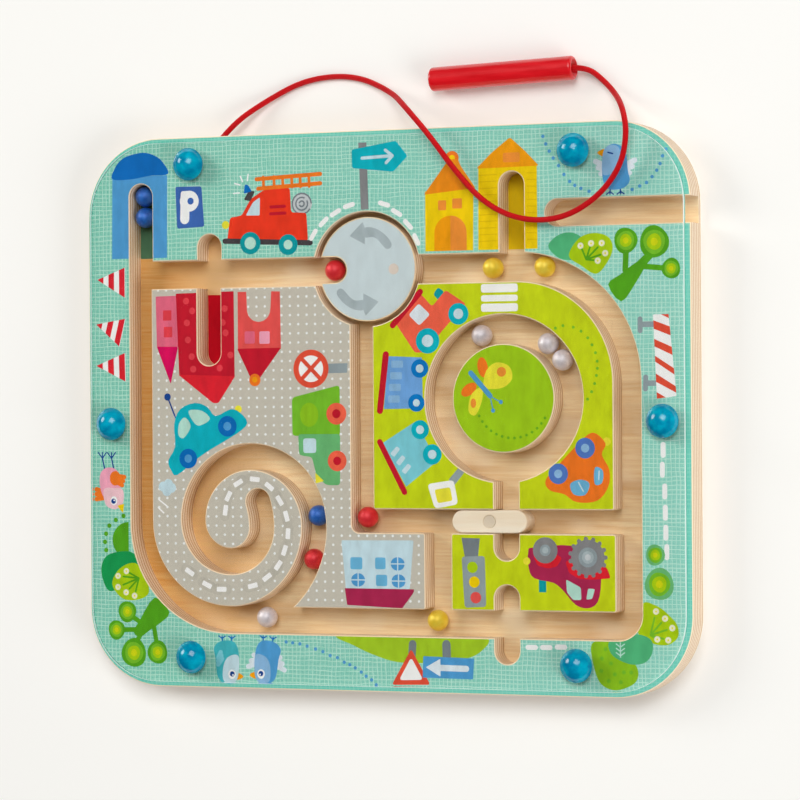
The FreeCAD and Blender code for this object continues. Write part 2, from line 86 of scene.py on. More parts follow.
CORD_ROUTE = [
    (-92.588, 124.044, 9.0), (-81.506, 138.228, 9.0), (-64, 151, 2.2), (-43, 160.6, 1.4),
    (-18, 161.5, 1.4), (2, 152.5, 3.4), (17, 143, 22.5), (30.5, 128.2, 24),
    (41, 112.5, 20.4), (55.5, 96.5, 19.7), (74, 88, 19.7), (94.5, 88.3, 19.7),
    (112, 98, 19.7), (123.5, 112, 20.6), (127.5, 127, 24), (125, 138.5, 22.5),
    (116, 146.5, 6.0), (109, 153.5, 3.0), (101.5, 159.8, 5.7), (92.4, 159.49, 5.7),
]
CORD_ROUND = 1.35


def add_cord(material):
    """The limp red cord from the knot in the board to the dimple of the pen."""
    curve = bpy.data.curves.new("red_cord", "CURVE")
    curve.dimensions = "3D"
    curve.bevel_depth = CORD_ROUND * MM
    curve.bevel_resolution = 5
    curve.use_fill_caps = True
    line = curve.splines.new("NURBS")
    line.points.add(len(CORD_ROUTE) - 1)
    for point, place in zip(line.points, CORD_ROUTE):
        point.co = [part * MM for part in place] + [1]
    line.order_u = 3
    line.use_endpoint_u = True
    line.resolution_u = 12
    curve.materials.append(material)
    cord = new_object("red_cord", curve)
    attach(cord, "root")
    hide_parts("cord")


# ---- materials ----
def linear(rgb):
    """A display colour from 0 to 255 as the linear colour that a shader takes."""
    parts = [part / 255 for part in rgb]
    return [part / 12.92 if part <= 0.04045 else ((part + 0.055) / 1.055) ** 2.4
        for part in parts] + [1]


class Look:
    """A material under construction: nodes are added by kind and joined by socket name."""

    def __init__(self, name, **shader_values):
        self.made = bpy.data.materials.new(name)
        self.made.use_nodes = True
        self.tree = self.made.node_tree
        self.shader = self.tree.nodes["Principled BSDF"]
        for socket, value in shader_values.items():
            self.shader.inputs[socket.replace("_", " ")].default_value = value

    def add(self, kind, inputs=None, **settings):
        node = self.tree.nodes.new("ShaderNode" + kind)
        for setting, value in settings.items():
            setattr(node, setting, value)
        for socket, value in (inputs or {}).items():
            if isinstance(value, bpy.types.NodeSocket):
                self.tree.links.new(value, node.inputs[socket])
            else:
                node.inputs[socket].default_value = value
        return node

    def place(self, scale=(1, 1, 1)):
        """The point in millimetres on the piece, stretched by a scale."""
        return self.vector("MULTIPLY", self.add("TexCoord").outputs["Object"],
            [part / MM for part in scale])

    def noise(self, size, scale=(1, 1, 1), detail=3.0, rough=0.55):
        """Cloudy noise whose blobs are about a size in millimetres."""
        return self.add("TexNoise", {"Vector": self.place(scale), "Scale": 1 / size,
            "Detail": detail, "Roughness": rough}).outputs["Fac"]

    def math(self, operation, first, second=0.0):
        return self.add("Math", {0: first, 1: second}, operation=operation).outputs[0]

    def vector(self, operation, first, second=(0, 0, 0)):
        node = self.add("VectorMath", {0: first, 1: second}, operation=operation)
        return node.outputs["Value" if operation == "LENGTH" else 0]

    def remap(self, value, low, high, to_low=0.0, to_high=1.0):
        return self.add("MapRange", {"Value": value, "From Min": low, "From Max": high,
            "To Min": to_low, "To Max": to_high}).outputs[0]

    def mix(self, share, first, second):
        node = self.add("Mix", {"Factor": share}, data_type="RGBA")
        for slot, value in ((6, first), (7, second)):
            if isinstance(value, bpy.types.NodeSocket):
                self.tree.links.new(value, node.inputs[slot])
            else:
                node.inputs[slot].default_value = linear(value)
        return node.outputs[2]

    def set(self, socket, value):
        self.tree.links.new(value, self.shader.inputs[socket])

    def bump(self, height, depth):
        """Relief from a height of 0 to 1 that stands for a depth in millimetres."""
        node = self.add("Bump", {"Height": height, "Distance": depth * MM, "Strength": 1.0})
        self.set("Normal", node.outputs[0])

    def finish(self, colour, wear, rough, height, depth):
        """The material with its colour, a roughness that follows some noise, and relief."""
        self.set("Base Color", colour)
        self.set("Roughness", self.remap(wear, 0.2, 0.8, *rough))
        self.bump(height, depth)
        return self.made


def split(look, vector):
    return look.add("SeparateXYZ", {0: vector}).outputs


def wood(name, pale, deep, line, plies_and_light_pools=True):
    """Clear-coated wood with its grain along X. Plywood also shows its plies and painted pools of
    light.
    """
    look = Look(name, Coat_Weight=0.08, Coat_Roughness=0.25, Specular_IOR_Level=0.3)
    streaks = look.noise(1.6, GRAIN, 6, 0.6)
    waves = look.noise(14, (0.1, 1, 1), 2)
    pores = look.noise(0.35, GRAIN, 2, 0.7)
    flecks = look.noise(0.7, (1, 0.12, 1), 3, 0.7)
    colour = look.mix(look.remap(streaks, 0.36, 0.64), pale, deep)
    colour = look.mix(look.remap(waves, 0.5, 0.66, 0, 0.5), colour, line)
    colour = look.mix(look.remap(pores, 0.6, 0.8, 0, 0.4), colour, line)
    colour = look.mix(look.remap(flecks, 0.6, 0.75, 0, 0.35), colour, line)
    height = look.math("ADD", streaks, pores)
    if plies_and_light_pools:
        colour = plies_and_painted_light(look, colour, line, streaks)
    return look.finish(colour, streaks, (0.36, 0.55), height, 0.06)


def plies_and_painted_light(look, flat_colour, line, streaks):
    """Plies on upright faces; on flat ones, soft painted pools of light and wood that turns darker
    and more orange towards the left.
    """
    point = split(look, look.place())
    wobble = look.noise(9, (1, 1, 0.2), 2)
    level = look.math("ADD", point[2], look.math("MULTIPLY", wobble, 0.9))
    wave = look.math("SINE", look.math("MULTIPLY", level, 2 * math.pi / PLY))
    fibres = look.noise(0.5, (1, 1, 0.25), 3, 0.7)
    ply = look.mix(look.remap(wave, -0.2, -0.75), PLY_PALE, PLY_DARK)
    ply = look.mix(look.remap(fibres, 0.45, 0.75, 0, 0.4), ply, line)
    # Painted light: soft bright pools of light on the flat wood, placed by noise.
    light_pool_noise = look.noise(24, (0.8, 1.3, 1), 1)
    colour = look.mix(look.remap(light_pool_noise, 0.52, 0.68, 0, 0.5), flat_colour, PAINTED_LIGHT_POOL)
    # Darker and more orange towards the left of the board.
    left_share = look.remap(point[0], *LEFT_ORANGE_SPAN, 0, 0.9)
    colour = look.mix(left_share, colour, look.mix(look.remap(streaks, 0.36, 0.64), LEFT_ORANGE, LEFT_ORANGE_PALE))
    colour = look.mix(look.math("GREATER_THAN", point[2], RIM_LEVEL), colour, RIM)
    facing = split(look, look.add("TexCoord").outputs["Normal"])[2]
    flat = look.math("GREATER_THAN", look.math("ABSOLUTE", facing), 0.5)
    return look.mix(flat, ply, colour)


GRAIN = (0.05, 1, 1)
PLY, RIM_LEVEL, LEFT_ORANGE_SPAN = 2.5, 14.3, (-55, -122)
# The middle colour below is painted light, for the bright pools on the wood.
PLY_DARK, PAINTED_LIGHT_POOL, RIM = (206, 160, 112), (255, 238, 206), (252, 232, 200)
# The first two colours below make the wood darker and more orange towards the left.
LEFT_ORANGE, LEFT_ORANGE_PALE, PLY_PALE = (222, 150, 56), (234, 184, 108), (248, 232, 208)
PALE, DEEP, LINE = (255, 232, 188), (243, 209, 158), (208, 162, 110)


def thread_mask(look, axis, spacing, width):
    """Hand-laid threads that cross one axis at uneven spaces and waver along their run."""
    across = split(look, look.place())[axis]
    drift = look.noise(15, detail=2)
    wander = look.math("ADD", across, look.math("MULTIPLY", drift, 2.2))
    cells = look.add("TexVoronoi", {"W": look.math("DIVIDE", wander, spacing), "Scale": 1.0,
        "Randomness": 0.4}, voronoi_dimensions="1D",
        feature="DISTANCE_TO_EDGE").outputs["Distance"]
    fade = look.noise(3.4, (1, 0.35, 1) if axis == 0 else (0.35, 1, 1), 3)
    return look.math("MULTIPLY", look.remap(cells, width, width * 0.3),
        look.remap(fade, 0.32, 0.58, 0.45, 1))


def bare_rim_shade_mask(look):
    """1 on the rim that the cover leaves bare, 0 under the cover: where the weave paints shade."""
    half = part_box("clear_cover")[1] / MM
    corner = (half.x - COVER_ROUND, half.y - COVER_ROUND, 100)
    past = look.vector("SUBTRACT", look.vector("ABSOLUTE", look.place()), corner)
    far = look.vector("LENGTH", look.vector("MAXIMUM", past))
    return look.remap(far, COVER_ROUND - 0.2, COVER_ROUND + 0.3)


def weave(name):
    """Teal print that imitates coarse linen: white threads both ways on a mottled ground."""
    look = Look(name, Specular_IOR_Level=0.15)
    point = split(look, look.place())
    mottle = look.noise(0.9, detail=4, rough=0.7)
    patches = look.noise(45, detail=2)
    ground = look.mix(look.remap(mottle, 0.3, 0.7), (92, 184, 158), (140, 212, 191))
    # Painted light: the teal grows lighter towards the right, as a veil of light reflected off the
    # cover.
    ground = look.mix(look.remap(point[0], -150, 155, 0, 0.6), ground, (156, 220, 208))
    ground = look.mix(look.remap(patches, 0.35, 0.7, 0, 0.3), ground, (120, 205, 180))
    threads = None
    for axis in (0, 1):
        for spacing, width, strength in ((2.1, 0.13, 0.66), (1.05, 0.12, 0.3)):
            mask = look.math("MULTIPLY", thread_mask(look, axis, spacing, width), strength)
            threads = mask if threads is None else look.math("MAXIMUM", threads, mask)
    colour = look.mix(threads, ground, (222, 246, 234))
    # Painted shade: darker teal on the rim outside the cover.
    colour = look.mix(look.math("MULTIPLY", bare_rim_shade_mask(look), 0.6), colour, (70, 178, 160))
    return look.finish(colour, mottle, (0.42, 0.6), threads, 0.03)


COVER_ROUND = 35.3


def dotted(name, ground, second, dot):
    """Grey print with rows of small pale dots."""
    look = Look(name, Specular_IOR_Level=0.12)
    mottle = look.noise(1.3, detail=4, rough=0.7)
    point = look.vector("DIVIDE", look.place(), (DOT_STEP, DOT_STEP, 1))
    off = look.vector("SUBTRACT", look.vector("FRACTION", point), (0.5, 0.5, 0))
    far = look.vector("LENGTH", look.vector("MULTIPLY", off, (1, 1, 0)))
    ragged = look.math("ADD", far, look.math("MULTIPLY", mottle, 0.06))
    mask = look.remap(ragged, 0.185, 0.165)
    colour = look.mix(look.remap(mottle, 0.3, 0.7), ground, second)
    colour = look.mix(look.math("MULTIPLY", mask, 0.85), colour, dot)
    return look.finish(colour, mottle, (0.42, 0.6), mottle, 0.02)


DOT_STEP = 4.4


def ink(name, rgb, spread=0.07):
    """Printed poster paint: one colour with faint brush mottle and paper tooth."""
    look = Look("ink_" + name, Specular_IOR_Level=0.12)
    darker = [part * (0.96 - spread) for part in rgb]
    lighter = [min(255, part * (0.965 + spread / 2)) for part in rgb]
    brushed = look.noise(5, (1, 0.4, 1), 4, 0.6)
    tooth = look.noise(0.6, detail=2, rough=0.7)
    colour = look.mix(look.remap(brushed, 0.3, 0.7), darker, lighter)
    colour = look.mix(look.remap(tooth, 0.5, 0.8, 0, 0.6), colour, lighter)
    return look.finish(colour, brushed, (0.4, 0.58), tooth, 0.02)


def acrylic(name):
    """The clear cover, with hardly visible wear."""
    look = Look(name, Transmission_Weight=1.0, IOR=1.49, Base_Color=(1, 1, 1, 1))
    haze = look.noise(30, detail=3)
    look.set("Roughness", look.remap(haze, 0.3, 0.8, 0.0, 0.012))
    return look.made


def cap_plastic(name):
    """See-through teal plastic with a moulded gloss."""
    look = Look(name, IOR=1.47, Coat_Weight=0.5, Coat_Roughness=0.03, Specular_IOR_Level=0.3,
        Subsurface_Weight=0.3, Subsurface_Scale=0.003)
    swirl = look.noise(5, detail=3)
    colour = look.mix(look.remap(swirl, 0.35, 0.7), (0, 126, 166), (0, 176, 202))
    return look.finish(colour, swirl, (0.1, 0.2), swirl, 0.03)


def metal(name, rgb, rough, grain):
    """Bare metal with turned or drawn lines."""
    look = Look(name, Metallic=1.0)
    lines = look.noise(0.4, grain, 4, 0.7)
    look.set("Base Color", look.mix(look.remap(lines, 0.3, 0.7), [part * 0.86 for part in rgb],
        rgb))
    look.set("Roughness", look.remap(lines, 0.3, 0.7, rough, rough + 0.15))
    look.bump(lines, 0.02)
    return look.made


def pearl(name, deep, bright):
    """Pearl lacquer on a steel ball, with tiny scuffs."""
    look = Look(name, Metallic=0.35, Coat_Weight=0.5, Coat_Roughness=0.38)
    flakes = look.noise(0.25, detail=2, rough=0.8)
    clouds = look.noise(3, detail=4, rough=0.65)
    colour = look.mix(look.remap(clouds, 0.3, 0.7), deep, bright)
    colour = look.mix(look.remap(flakes, 0.6, 0.8, 0, 0.35), colour, (255, 250, 240))
    return look.finish(colour, clouds, (0.38, 0.5), clouds, 0.05)


def lacquer(name, deep, bright):
    """Glossy paint on turned wood."""
    look = Look(name, Coat_Weight=0.7, Coat_Roughness=0.12)
    streaks = look.noise(2.5, (0.15, 1, 1), 4)
    colour = look.mix(look.remap(streaks, 0.3, 0.7), deep, bright)
    return look.finish(colour, streaks, (0.28, 0.42), streaks, 0.05)


def braid(name, deep, bright):
    """Fine braided cord with a slight nap."""
    look = Look(name, Specular_IOR_Level=0.25)
    strands = look.add("TexWave", {"Vector": look.place(), "Scale": 1.6, "Distortion": 1.5,
        "Detail": 2.0}, bands_direction="DIAGONAL").outputs["Fac"]
    colour = look.mix(look.remap(strands, 0.1, 0.7), deep, bright)
    return look.finish(colour, look.noise(0.5, detail=3), (0.42, 0.6), strands, 0.12)


# ---- outlines in millimetres ----
def circle(x, y, radius, count=28):
    return oval(x, y, radius, radius, count=count)


def heading(angle):
    """The unit step towards an angle in radians."""
    return Vector((math.cos(angle), math.sin(angle)))


def oval(x, y, wide, high, turn=0, count=28):
    """An ellipse by its half sizes, turned in degrees."""
    cosine, sine = math.cos(math.radians(turn)), math.sin(math.radians(turn))
    points = []
    for step in range(count):
        angle = 2 * math.pi * step / count
        u, v = wide * math.cos(angle), high * math.sin(angle)
        points.append((x + u * cosine - v * sine, y + u * sine + v * cosine))
    return points


def tile(x0, x1, y0, y1):
    return [(x0, y0), (x1, y0), (x1, y1), (x0, y1)]


def bar(start, end, wide, round_ends=True):
    """A stroke from one point to another."""
    start, end = Vector(start), Vector(end)
    along = (end - start).normalized()
    side = Vector((-along.y, along.x)) * wide / 2
    if not round_ends:
        return [start - side, end - side, end + side, start + side]
    points = []
    for middle, ahead in ((end, along), (start, -along)):
        right = Vector((ahead.y, -ahead.x))
        for step in range(7):
            angle = math.pi * step / 6
            points.append(middle + (right * math.cos(angle) + ahead * math.sin(angle)) * wide / 2)
    return points


def smooth(points, steps=5):
    """A closed curve through a few points."""
    count, curve = len(points), []
    for i in range(count):
        a, b, c, d = (Vector(points[(i + k - 1) % count]) for k in range(4))
        for step in range(steps):
            t = step / steps
            curve.append(0.5 * (2 * b + (c - a) * t + (2 * a - 5 * b + 4 * c - d) * t * t
                + (3 * b - a - 3 * c + d) * t ** 3))
    return curve


def rounded(points, radius, steps=4):
    """A polygon with its corners rounded off by about a radius."""
    curve = []
    for before, corner, after in zip(points[-1:] + points[:-1], points, points[1:] + points[:1]):
        before, corner, after = Vector(before), Vector(corner), Vector(after)
        first = corner.lerp(before, min(radius / (before - corner).length, 0.45))
        last = corner.lerp(after, min(radius / (after - corner).length, 0.45))
        for step in range(steps + 1):
            t = step / steps
            curve.append(first.lerp(corner, t).lerp(corner.lerp(last, t), t))
    return curve


def plate(x0, x1, y0, y1, radius):
    return rounded(tile(x0, x1, y0, y1), radius)


def arc(x, y, radius, start, end, steps=14):
    """Points round a centre between two angles in degrees."""
    angles = [math.radians(start + (end - start) * step / steps) for step in range(steps + 1)]
    return [(x + radius * math.cos(angle), y + radius * math.sin(angle)) for angle in angles]


def band(x, y, radius, wide, start, end):
    """A stretch of a ring of some width."""
    return arc(x, y, radius + wide / 2, start, end) + arc(x, y, radius - wide / 2, end, start)


def anticlockwise(points):
    """The same outline, turned the way that a filled face needs."""
    turned = sum(a[0] * b[1] - b[0] * a[1] for a, b in zip(points, points[1:] + points[:1]))
    return points if turned > 0 else points[::-1]


# ---- printed sheets ----
SHAPES = []  # ink and outline of every shape on the sheet in hand, from the lowest up


def fill(colour, *outlines):
    """Lays shapes of one ink on the sheet in hand."""
    SHAPES.extend((INKS[colour], anticlockwise(outline)) for outline in outlines)


def outline_loops(node):
    """The closed edges of the top face of a CAD sheet."""
    mesh = bmesh.new()
    mesh.from_mesh(frame["nodes"][node].data)
    bmesh.ops.remove_doubles(mesh, verts=mesh.verts, dist=1e-6)
    level = max(v.co.z for v in mesh.verts)
    top = {f for f in mesh.faces if f.normal.z > 0.9 and f.calc_center_median().z > level - 1e-6}
    onward = {}
    for face in top:
        for loop in face.loops:
            if not any(other is not face and other in top for other in loop.edge.link_faces):
                onward.setdefault(loop.vert, []).append(loop.link_loop_next.vert)
    loops = []
    while onward:
        vert = next(iter(onward))
        path = []
        while vert in onward:
            path.append((vert.co.x / MM, vert.co.y / MM))
            nexts = onward[vert]
            ahead = nexts.pop()
            if not nexts:
                del onward[vert]
            vert = ahead
        loops.append(anticlockwise(path))
    mesh.free()
    return loops


def print_sheet(name, picture, slot, body):
    """One closed sheet, its top face divided along the edge of every shape in its picture."""
    SHAPES.clear()
    picture()
    inks = [LOOKS[slot]]
    inks += dict.fromkeys(ink for ink, _ in SHAPES)
    loops = outline_loops(name + "_print")
    points, faces = [], []
    for outline in loops + [outline for _, outline in SHAPES]:
        faces.append(list(range(len(points), len(points) + len(outline))))
        points += [Vector(point) for point in outline]
    found, _, cells, _, _, sources = delaunay_2d_cdt(points, [], faces, 1, 1e-5)
    low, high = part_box(name + "_print")
    mesh = bmesh.new()
    verts = [mesh.verts.new((point.x * MM, point.y * MM, low.z)) for point in found]
    for cell, source in zip(cells, sources):
        if sum(number < len(loops) for number in source) % 2:
            face = mesh.faces.new([verts[number] for number in cell])
            over = max(source) - len(loops)
            face.material_index = inks.index(SHAPES[over][0]) if over >= 0 else 0
    bmesh.ops.delete(mesh, geom=[v for v in mesh.verts if not v.link_faces], context="VERTS")
    bmesh.ops.recalc_face_normals(mesh, faces=mesh.faces)
    raised = bmesh.ops.extrude_face_region(mesh, geom=mesh.faces[:])["geom"]
    for vert in (item for item in raised if isinstance(item, bmesh.types.BMVert)):
        vert.co.z = high.z
    bmesh.ops.recalc_face_normals(mesh, faces=mesh.faces)
    sheet = from_bmesh(name + "_picture", mesh, *inks)
    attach(sheet, body)
    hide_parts(name + "_print")


# ---- cover edge and painted slot floors ----
def raise_outline(name, outer, low, high, material, inner=None):
    """A closed upright prism, or a ring between two outlines of the same count."""
    mesh = bmesh.new()
    rows = [[mesh.verts.new((x * MM, y * MM, z * MM)) for x, y in outline]
        for outline in ((outer, inner) if inner else (outer,)) for z in (low, high)]
    count = len(outer)
    pairs = ((0, 1), (3, 2), (1, 3), (2, 0)) if inner else ((0, 1),)
    for a, b in pairs:
        for i in range(count):
            j = (i + 1) % count
            mesh.faces.new((rows[a][i], rows[a][j], rows[b][j], rows[b][i]))
    if not inner:
        mesh.faces.new(rows[0][::-1])
        mesh.faces.new(rows[1])
    bmesh.ops.recalc_face_normals(mesh, faces=mesh.faces)
    piece = from_bmesh(name, mesh, material)
    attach(piece, "root")
    return piece


def rounded_board(half_x, half_y, radius):
    """The cover's outline: a rectangle with four quarter circles."""
    points = []
    for turn, (x, y) in enumerate(((1, 1), (-1, 1), (-1, -1), (1, -1))):
        points += arc(x * (half_x - radius), y * (half_y - radius), radius, 90 * turn,
            90 * turn + 90)
    return points


def cover_edge():
    """The polished edge of the clear cover, an opaque ring whose pale line along the top is a
    painted highlight.
    """
    look = Look("polished_edge_painted_highlight", Roughness=0.25, Specular_IOR_Level=0.5)
    height = split(look, look.place())[2]
    scuff = look.noise(2, (1, 1, 0.3), 3)
    # Painted highlight: teal low on the edge, fading up to a near-white line at the top.
    colour = look.mix(look.remap(height, *EDGE_HIGHLIGHT_FADE), (92, 186, 168), (246, 252, 250))
    look.set("Base Color", look.mix(look.remap(scuff, 0.5, 0.75, 0, 0.3), colour, (200, 236, 226)))
    look.bump(scuff, 0.02)
    low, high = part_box("clear_cover")
    outlines = [rounded_board(high.x / MM + gap, high.y / MM + gap,
        COVER_ROUND + gap) for gap in EDGE_GAPS]
    edge = raise_outline("cover_edge", outlines[0], low.z / MM, high.z / MM, look.made,
        outlines[1])
    edge.visible_shadow = False


def slot_floors():
    """Paint on the floor of three blind slots, in the colour of the house round each."""
    for name, colour, x, start, end in (("parking_floor", "bottle", -125.8, 75.5, 105.2),
            ("castle_floor", "signal", -89.3, 57, 28.7), ("barn_floor", "gold", 67.7, 75.5,
            105.2)):
        away = 1 if end > start else -1
        outline = anticlockwise([(x - SLOT_HALF, start), (x + SLOT_HALF, start)] + arc(x, end,
            SLOT_HALF, 0, 180 * away))
        floor = raise_outline(name, outline, FLOOR_LEVEL, FLOOR_LEVEL + PAINT, INKS[colour])


# The first pair of heights sets where the painted highlight fades in.
EDGE_HIGHLIGHT_FADE, EDGE_GAPS = (16.2, 17.4), (0.12, 0.02)
SLOT_HALF, FLOOR_LEVEL, PAINT = 6.1, 3.01, 0.06


# ---- light and floor ----
def add_light(name, place, size, power, rgb=(255, 255, 255), mirrored=True):
    """A soft lamp aimed at the board. It shines through the clear cover just once."""
    lamp = bpy.data.lights.new(name, "AREA")
    lamp.shape = "RECTANGLE"
    lamp.size, lamp.size_y = size
    lamp.energy = power
    lamp.color = linear(rgb)[:3]
    light = new_object(name, lamp)
    light.location = place
    light.rotation_euler = (-Vector(place)).to_track_quat("-Z", "Y").to_euler()
    light.visible_transmission = False
    light.visible_glossy = mirrored
    return light


def keep_off_cover(light):
    """The lamp's mirror image in the flat cover would veil the whole board from above."""
    kept_off = bpy.data.collections.new(light.name + "_kept_off")
    kept_off.objects.link(frame["nodes"]["clear_cover"])
    kept_off.collection_objects[0].light_linking.link_state = "EXCLUDE"
    light.light_linking.receiver_collection = kept_off


def add_studio():
    scene = bpy.context.scene
    scene.view_settings.view_transform = "Standard"
    scene.world = bpy.data.worlds.new("studio")
    scene.world.use_nodes = True
    background = scene.world.node_tree.nodes["Background"]
    background.inputs["Color"].default_value = (1, 1, 1, 1)
    background.inputs["Strength"].default_value = WORLD_GLOW
    scene.world.cycles_visibility.transmission = False
    scene.world.cycles_visibility.glossy = False
    add_light("window", (-2.6, 1.2, 1.5), (1.2, 1.2), 34, (255, 253, 248))
    keep_off_cover(add_light("overhead", (0.6, 1.3, 2.95), (1.8, 1.8), 54))
    add_light("fill", (2.6, -1.2, 1.4), (2.0, 1.5), 46, mirrored=False)


def add_floor():
    """A wide sheet of pale paper."""
    look = Look("floor_paper", Roughness=0.9)
    look.set("Base Color", look.mix(look.noise(400), (249, 248, 244), (251, 250, 246)))
    mesh = bmesh.new()
    bmesh.ops.create_grid(mesh, x_segments=1, y_segments=1, size=FLOOR_HALF)
    from_bmesh("floor", mesh, look.made)


WORLD_GLOW, FLOOR_HALF = 0.26, 6


# ---- pictures on the teal border ----
INK_COLOURS = {
    "cream": (250, 246, 214), "beige": (232, 218, 204),
    "charcoal": (72, 66, 70), "slate": (126, 136, 142), "ash": (140, 140, 142),
    "grey": (154, 168, 172), "haze": (178, 192, 196), "silver": (206, 212, 214),
    "ice": (206, 232, 240), "mint": (190, 234, 218), "aqua": (130, 212, 224),
    "lagoon": (70, 188, 198), "teal": (2, 160, 168), "turquoise": (0, 184, 200),
    "navy": (20, 70, 150), "blue": (0, 112, 196), "cornflower": (64, 108, 186),
    "sky": (84, 164, 220), "mist": (146, 192, 230), "orange": (250, 126, 34),
    "tangerine": (250, 150, 20), "amber": (252, 166, 6), "apricot": (248, 152, 56),
    "yellow": (252, 216, 0), "ochre": (236, 196, 0), "lemon": (244, 236, 60),
    "citron": (218, 222, 14), "gold": (240, 206, 10), "signal": (214, 4, 34),
    "bottle": (84, 130, 98), "scarlet": (246, 60, 30), "vermilion": (236, 84, 58),
    "red": (232, 34, 50), "poppy": (234, 66, 78), "crimson": (206, 22, 46),
    "berry": (180, 40, 84), "rose": (238, 110, 138), "pink": (250, 172, 196),
    "blush": (250, 206, 214), "magenta": (226, 0, 96), "coral": (240, 88, 84),
    "salmon": (250, 104, 76), "leaf": (88, 172, 26), "moss": (20, 160, 84),
    "hill": (86, 190, 130), "grass": (150, 204, 32), "spring": (172, 210, 40),
    "apple": (124, 196, 44), "lime": (180, 214, 14), "sage": (112, 192, 122),
    "denim": (116, 172, 230), "azure": (0, 126, 204), "pool": (112, 188, 226),
    "snow": (232, 243, 249), "stone": (201, 196, 182), "fern": (112, 180, 30),
    "steel": (84, 126, 202),
}
INKS = {name: ink(name, rgb) for name, rgb in INK_COLOURS.items()}
INKS["white"] = ink("clean_white", (254, 254, 252), 0.02)


def wheel(x, y, radius, tyre, hub, share=0.55):
    fill(tyre, circle(x, y, radius))
    fill(hub, circle(x, y, radius * share, 20))


def dots(colour, places, radius=0.85):
    fill(colour, *[circle(x, y, radius, 10) for x, y in places])


def garage():
    fill("sky", [(-141.6, 75.2), (-111.6, 75.2), (-111.3, 115.4), (-141.2, 115.4)])
    fill("blue", smooth([(-141.2, 114.4), (-139.8, 119.6), (-137, 123.1), (-132.8, 125.4),
        (-124.2, 126.8), (-117.5, 124.9), (-113.3, 121.4), (-110.9, 116), (-121, 115.4),
        (-131, 114)]))


def parking_sign():
    fill("cornflower", rounded([(-106.9, 109.6), (-92.8, 109.4), (-91.4, 89.8), (-106, 89.2)],
        1.2))
    fill("white", bar((-101.9, 93.7), (-101.6, 104.9), 4.9), circle(-99.4, 102.4, 5.1),
        plate(-104, -99, 101.4, 107.4, 1.4))
    fill("cornflower", circle(-98.7, 102.4, 1.7, 16))


def fire_engine():
    fill("orange", bar((-63.4, 111.9), (-29.8, 113.4), 2), bar((-62.6, 107.3), (-29.8, 108.9), 2),
        *[bar((x, 107.6), (x - 0.2, 112.8), 1.5) for x in (-59.6, -54, -49.4, -44.6, -40.2,
        -35.6)])
    fill("silver", circle(-39.6, 99.4, 5.4))
    fill("slate", *[band(-39.6, 99.4, radius, 0.8, turn, turn + 330) for radius, turn in ((5, 0),
        (3.1, 60), (1.3, 200))])
    fill("scarlet", rounded([(-79.2, 82), (-77.6, 93.8), (-71.4, 94.6), (-66.6, 102.4),
        (-59.6, 106.6), (-45.8, 107.2), (-45.2, 95.4), (-37.2, 95), (-36.4, 81.6)], 1.4))
    fill("ice", rounded([(-69.2, 94.6), (-61.8, 94.4), (-61.6, 103.2), (-65.2, 101)], 0.8))
    fill("charcoal", bar((-80.4, 82.5), (-35.2, 80.6), 2.6), rounded([(-70.2, 102.2),
        (-67.6, 106.4), (-64.2, 106.2), (-66.6, 101.4)], 0.8))
    fill("blue", rounded([(-70.2, 105), (-69.6, 109.6), (-68, 109.4), (-65.8, 106.2)], 0.8))
    fill("white", bar((-70.8, 111), (-72, 113.6), 0.7), bar((-68.2, 111.4), (-67.8, 114.4), 0.7),
        bar((-72.2, 109.4), (-75, 110.2), 0.7), bar((-72.6, 105.6), (-75.6, 105.4), 0.7))
    fill("crimson", bar((-55.8, 98.3), (-48.6, 98.5), 1.5), bar((-56, 95), (-48.4, 95.2), 1.5))
    fill("lemon", circle(-80, 90.3, 2, 16))
    wheel(-66.9, 81.2, 5.4, "teal", "mint")
    wheel(-46.9, 80, 5, "teal", "mint", 0.46)


def signpost():
    """The original sign's wording gives way to a plain arrow."""
    fill("ash", [(-9.9, 127.6), (-5.7, 127.6), (-4.8, 95.8), (-8.8, 95.6)])
    fill("turquoise", rounded([(-13.4, 124.4), (9.4, 127.8), (15.4, 120.4), (8, 113.2),
        (-13.2, 115.6)], 1))
    fill("ice", bar((-8, 120.2), (7.2, 120.8), 1.5), bar((7.6, 120.8), (4, 123.6), 1.5),
        bar((7.6, 120.8), (4.4, 117.6), 1.5))


def turning_dashes():
    """White dashes round the turntable."""
    for x, y in ((-33.6, 84.4), (-28.2, 90.4), (-22, 94.6), (-15, 97.8), (3.2, 98), (9.6, 93.8),
            (15.4, 88), (19.6, 80.8)):
        step = heading(math.atan2(y - 67.4, x + 6.3) + math.pi / 2) * 2.1
        fill("white", bar(Vector((x, y)) - step, Vector((x, y)) + step, 2.3))


def yellow_house():
    fill("orange", circle(38, 118.6, 3.4))
    fill("yellow", [(24.2, 75), (48.4, 75), (48.8, 104.4), (24.2, 103.4)],
        circle(38, 118.6, 1.5, 16))
    fill("tangerine", rounded([(23.6, 101.8), (34.4, 115.6), (36.6, 118.2), (41, 118),
        (42.4, 114.8), (49.8, 104.2)], 0.8))
    fill("apricot", plate(30.8, 34.9, 94.2, 98.9, 0.6), plate(38, 42.9, 94.8, 99.6, 0.6))
    fill("apricot", [(28.8, 75)] + arc(37, 83.4, 8.2, 180, 0) + [(45.2, 75)])
    fill("amber", [(28.8, 75)] + arc(37, 83.4, 8.2, 180, 90) + [(37, 75)])


def barn():
    fill("yellow", [(51, 75), (80.6, 75), (80.5, 114.6), (51.2, 114.6)])
    for step in range(11):
        y = 79 + 3.1 * step
        fill("ochre", bar((51.4, y), (60.4, y + 0.2), 0.45), bar((75.6, y + 0.5), (80.2, y + 0.3),
            0.45))
    fill("amber", rounded([(50.2, 113.2), (57.6, 120.2), (67.2, 127.4), (74.6, 120.8),
        (81.6, 113.6)], 1.2))
    fill("apricot", plate(63.6, 72, 115.7, 120.2, 1))


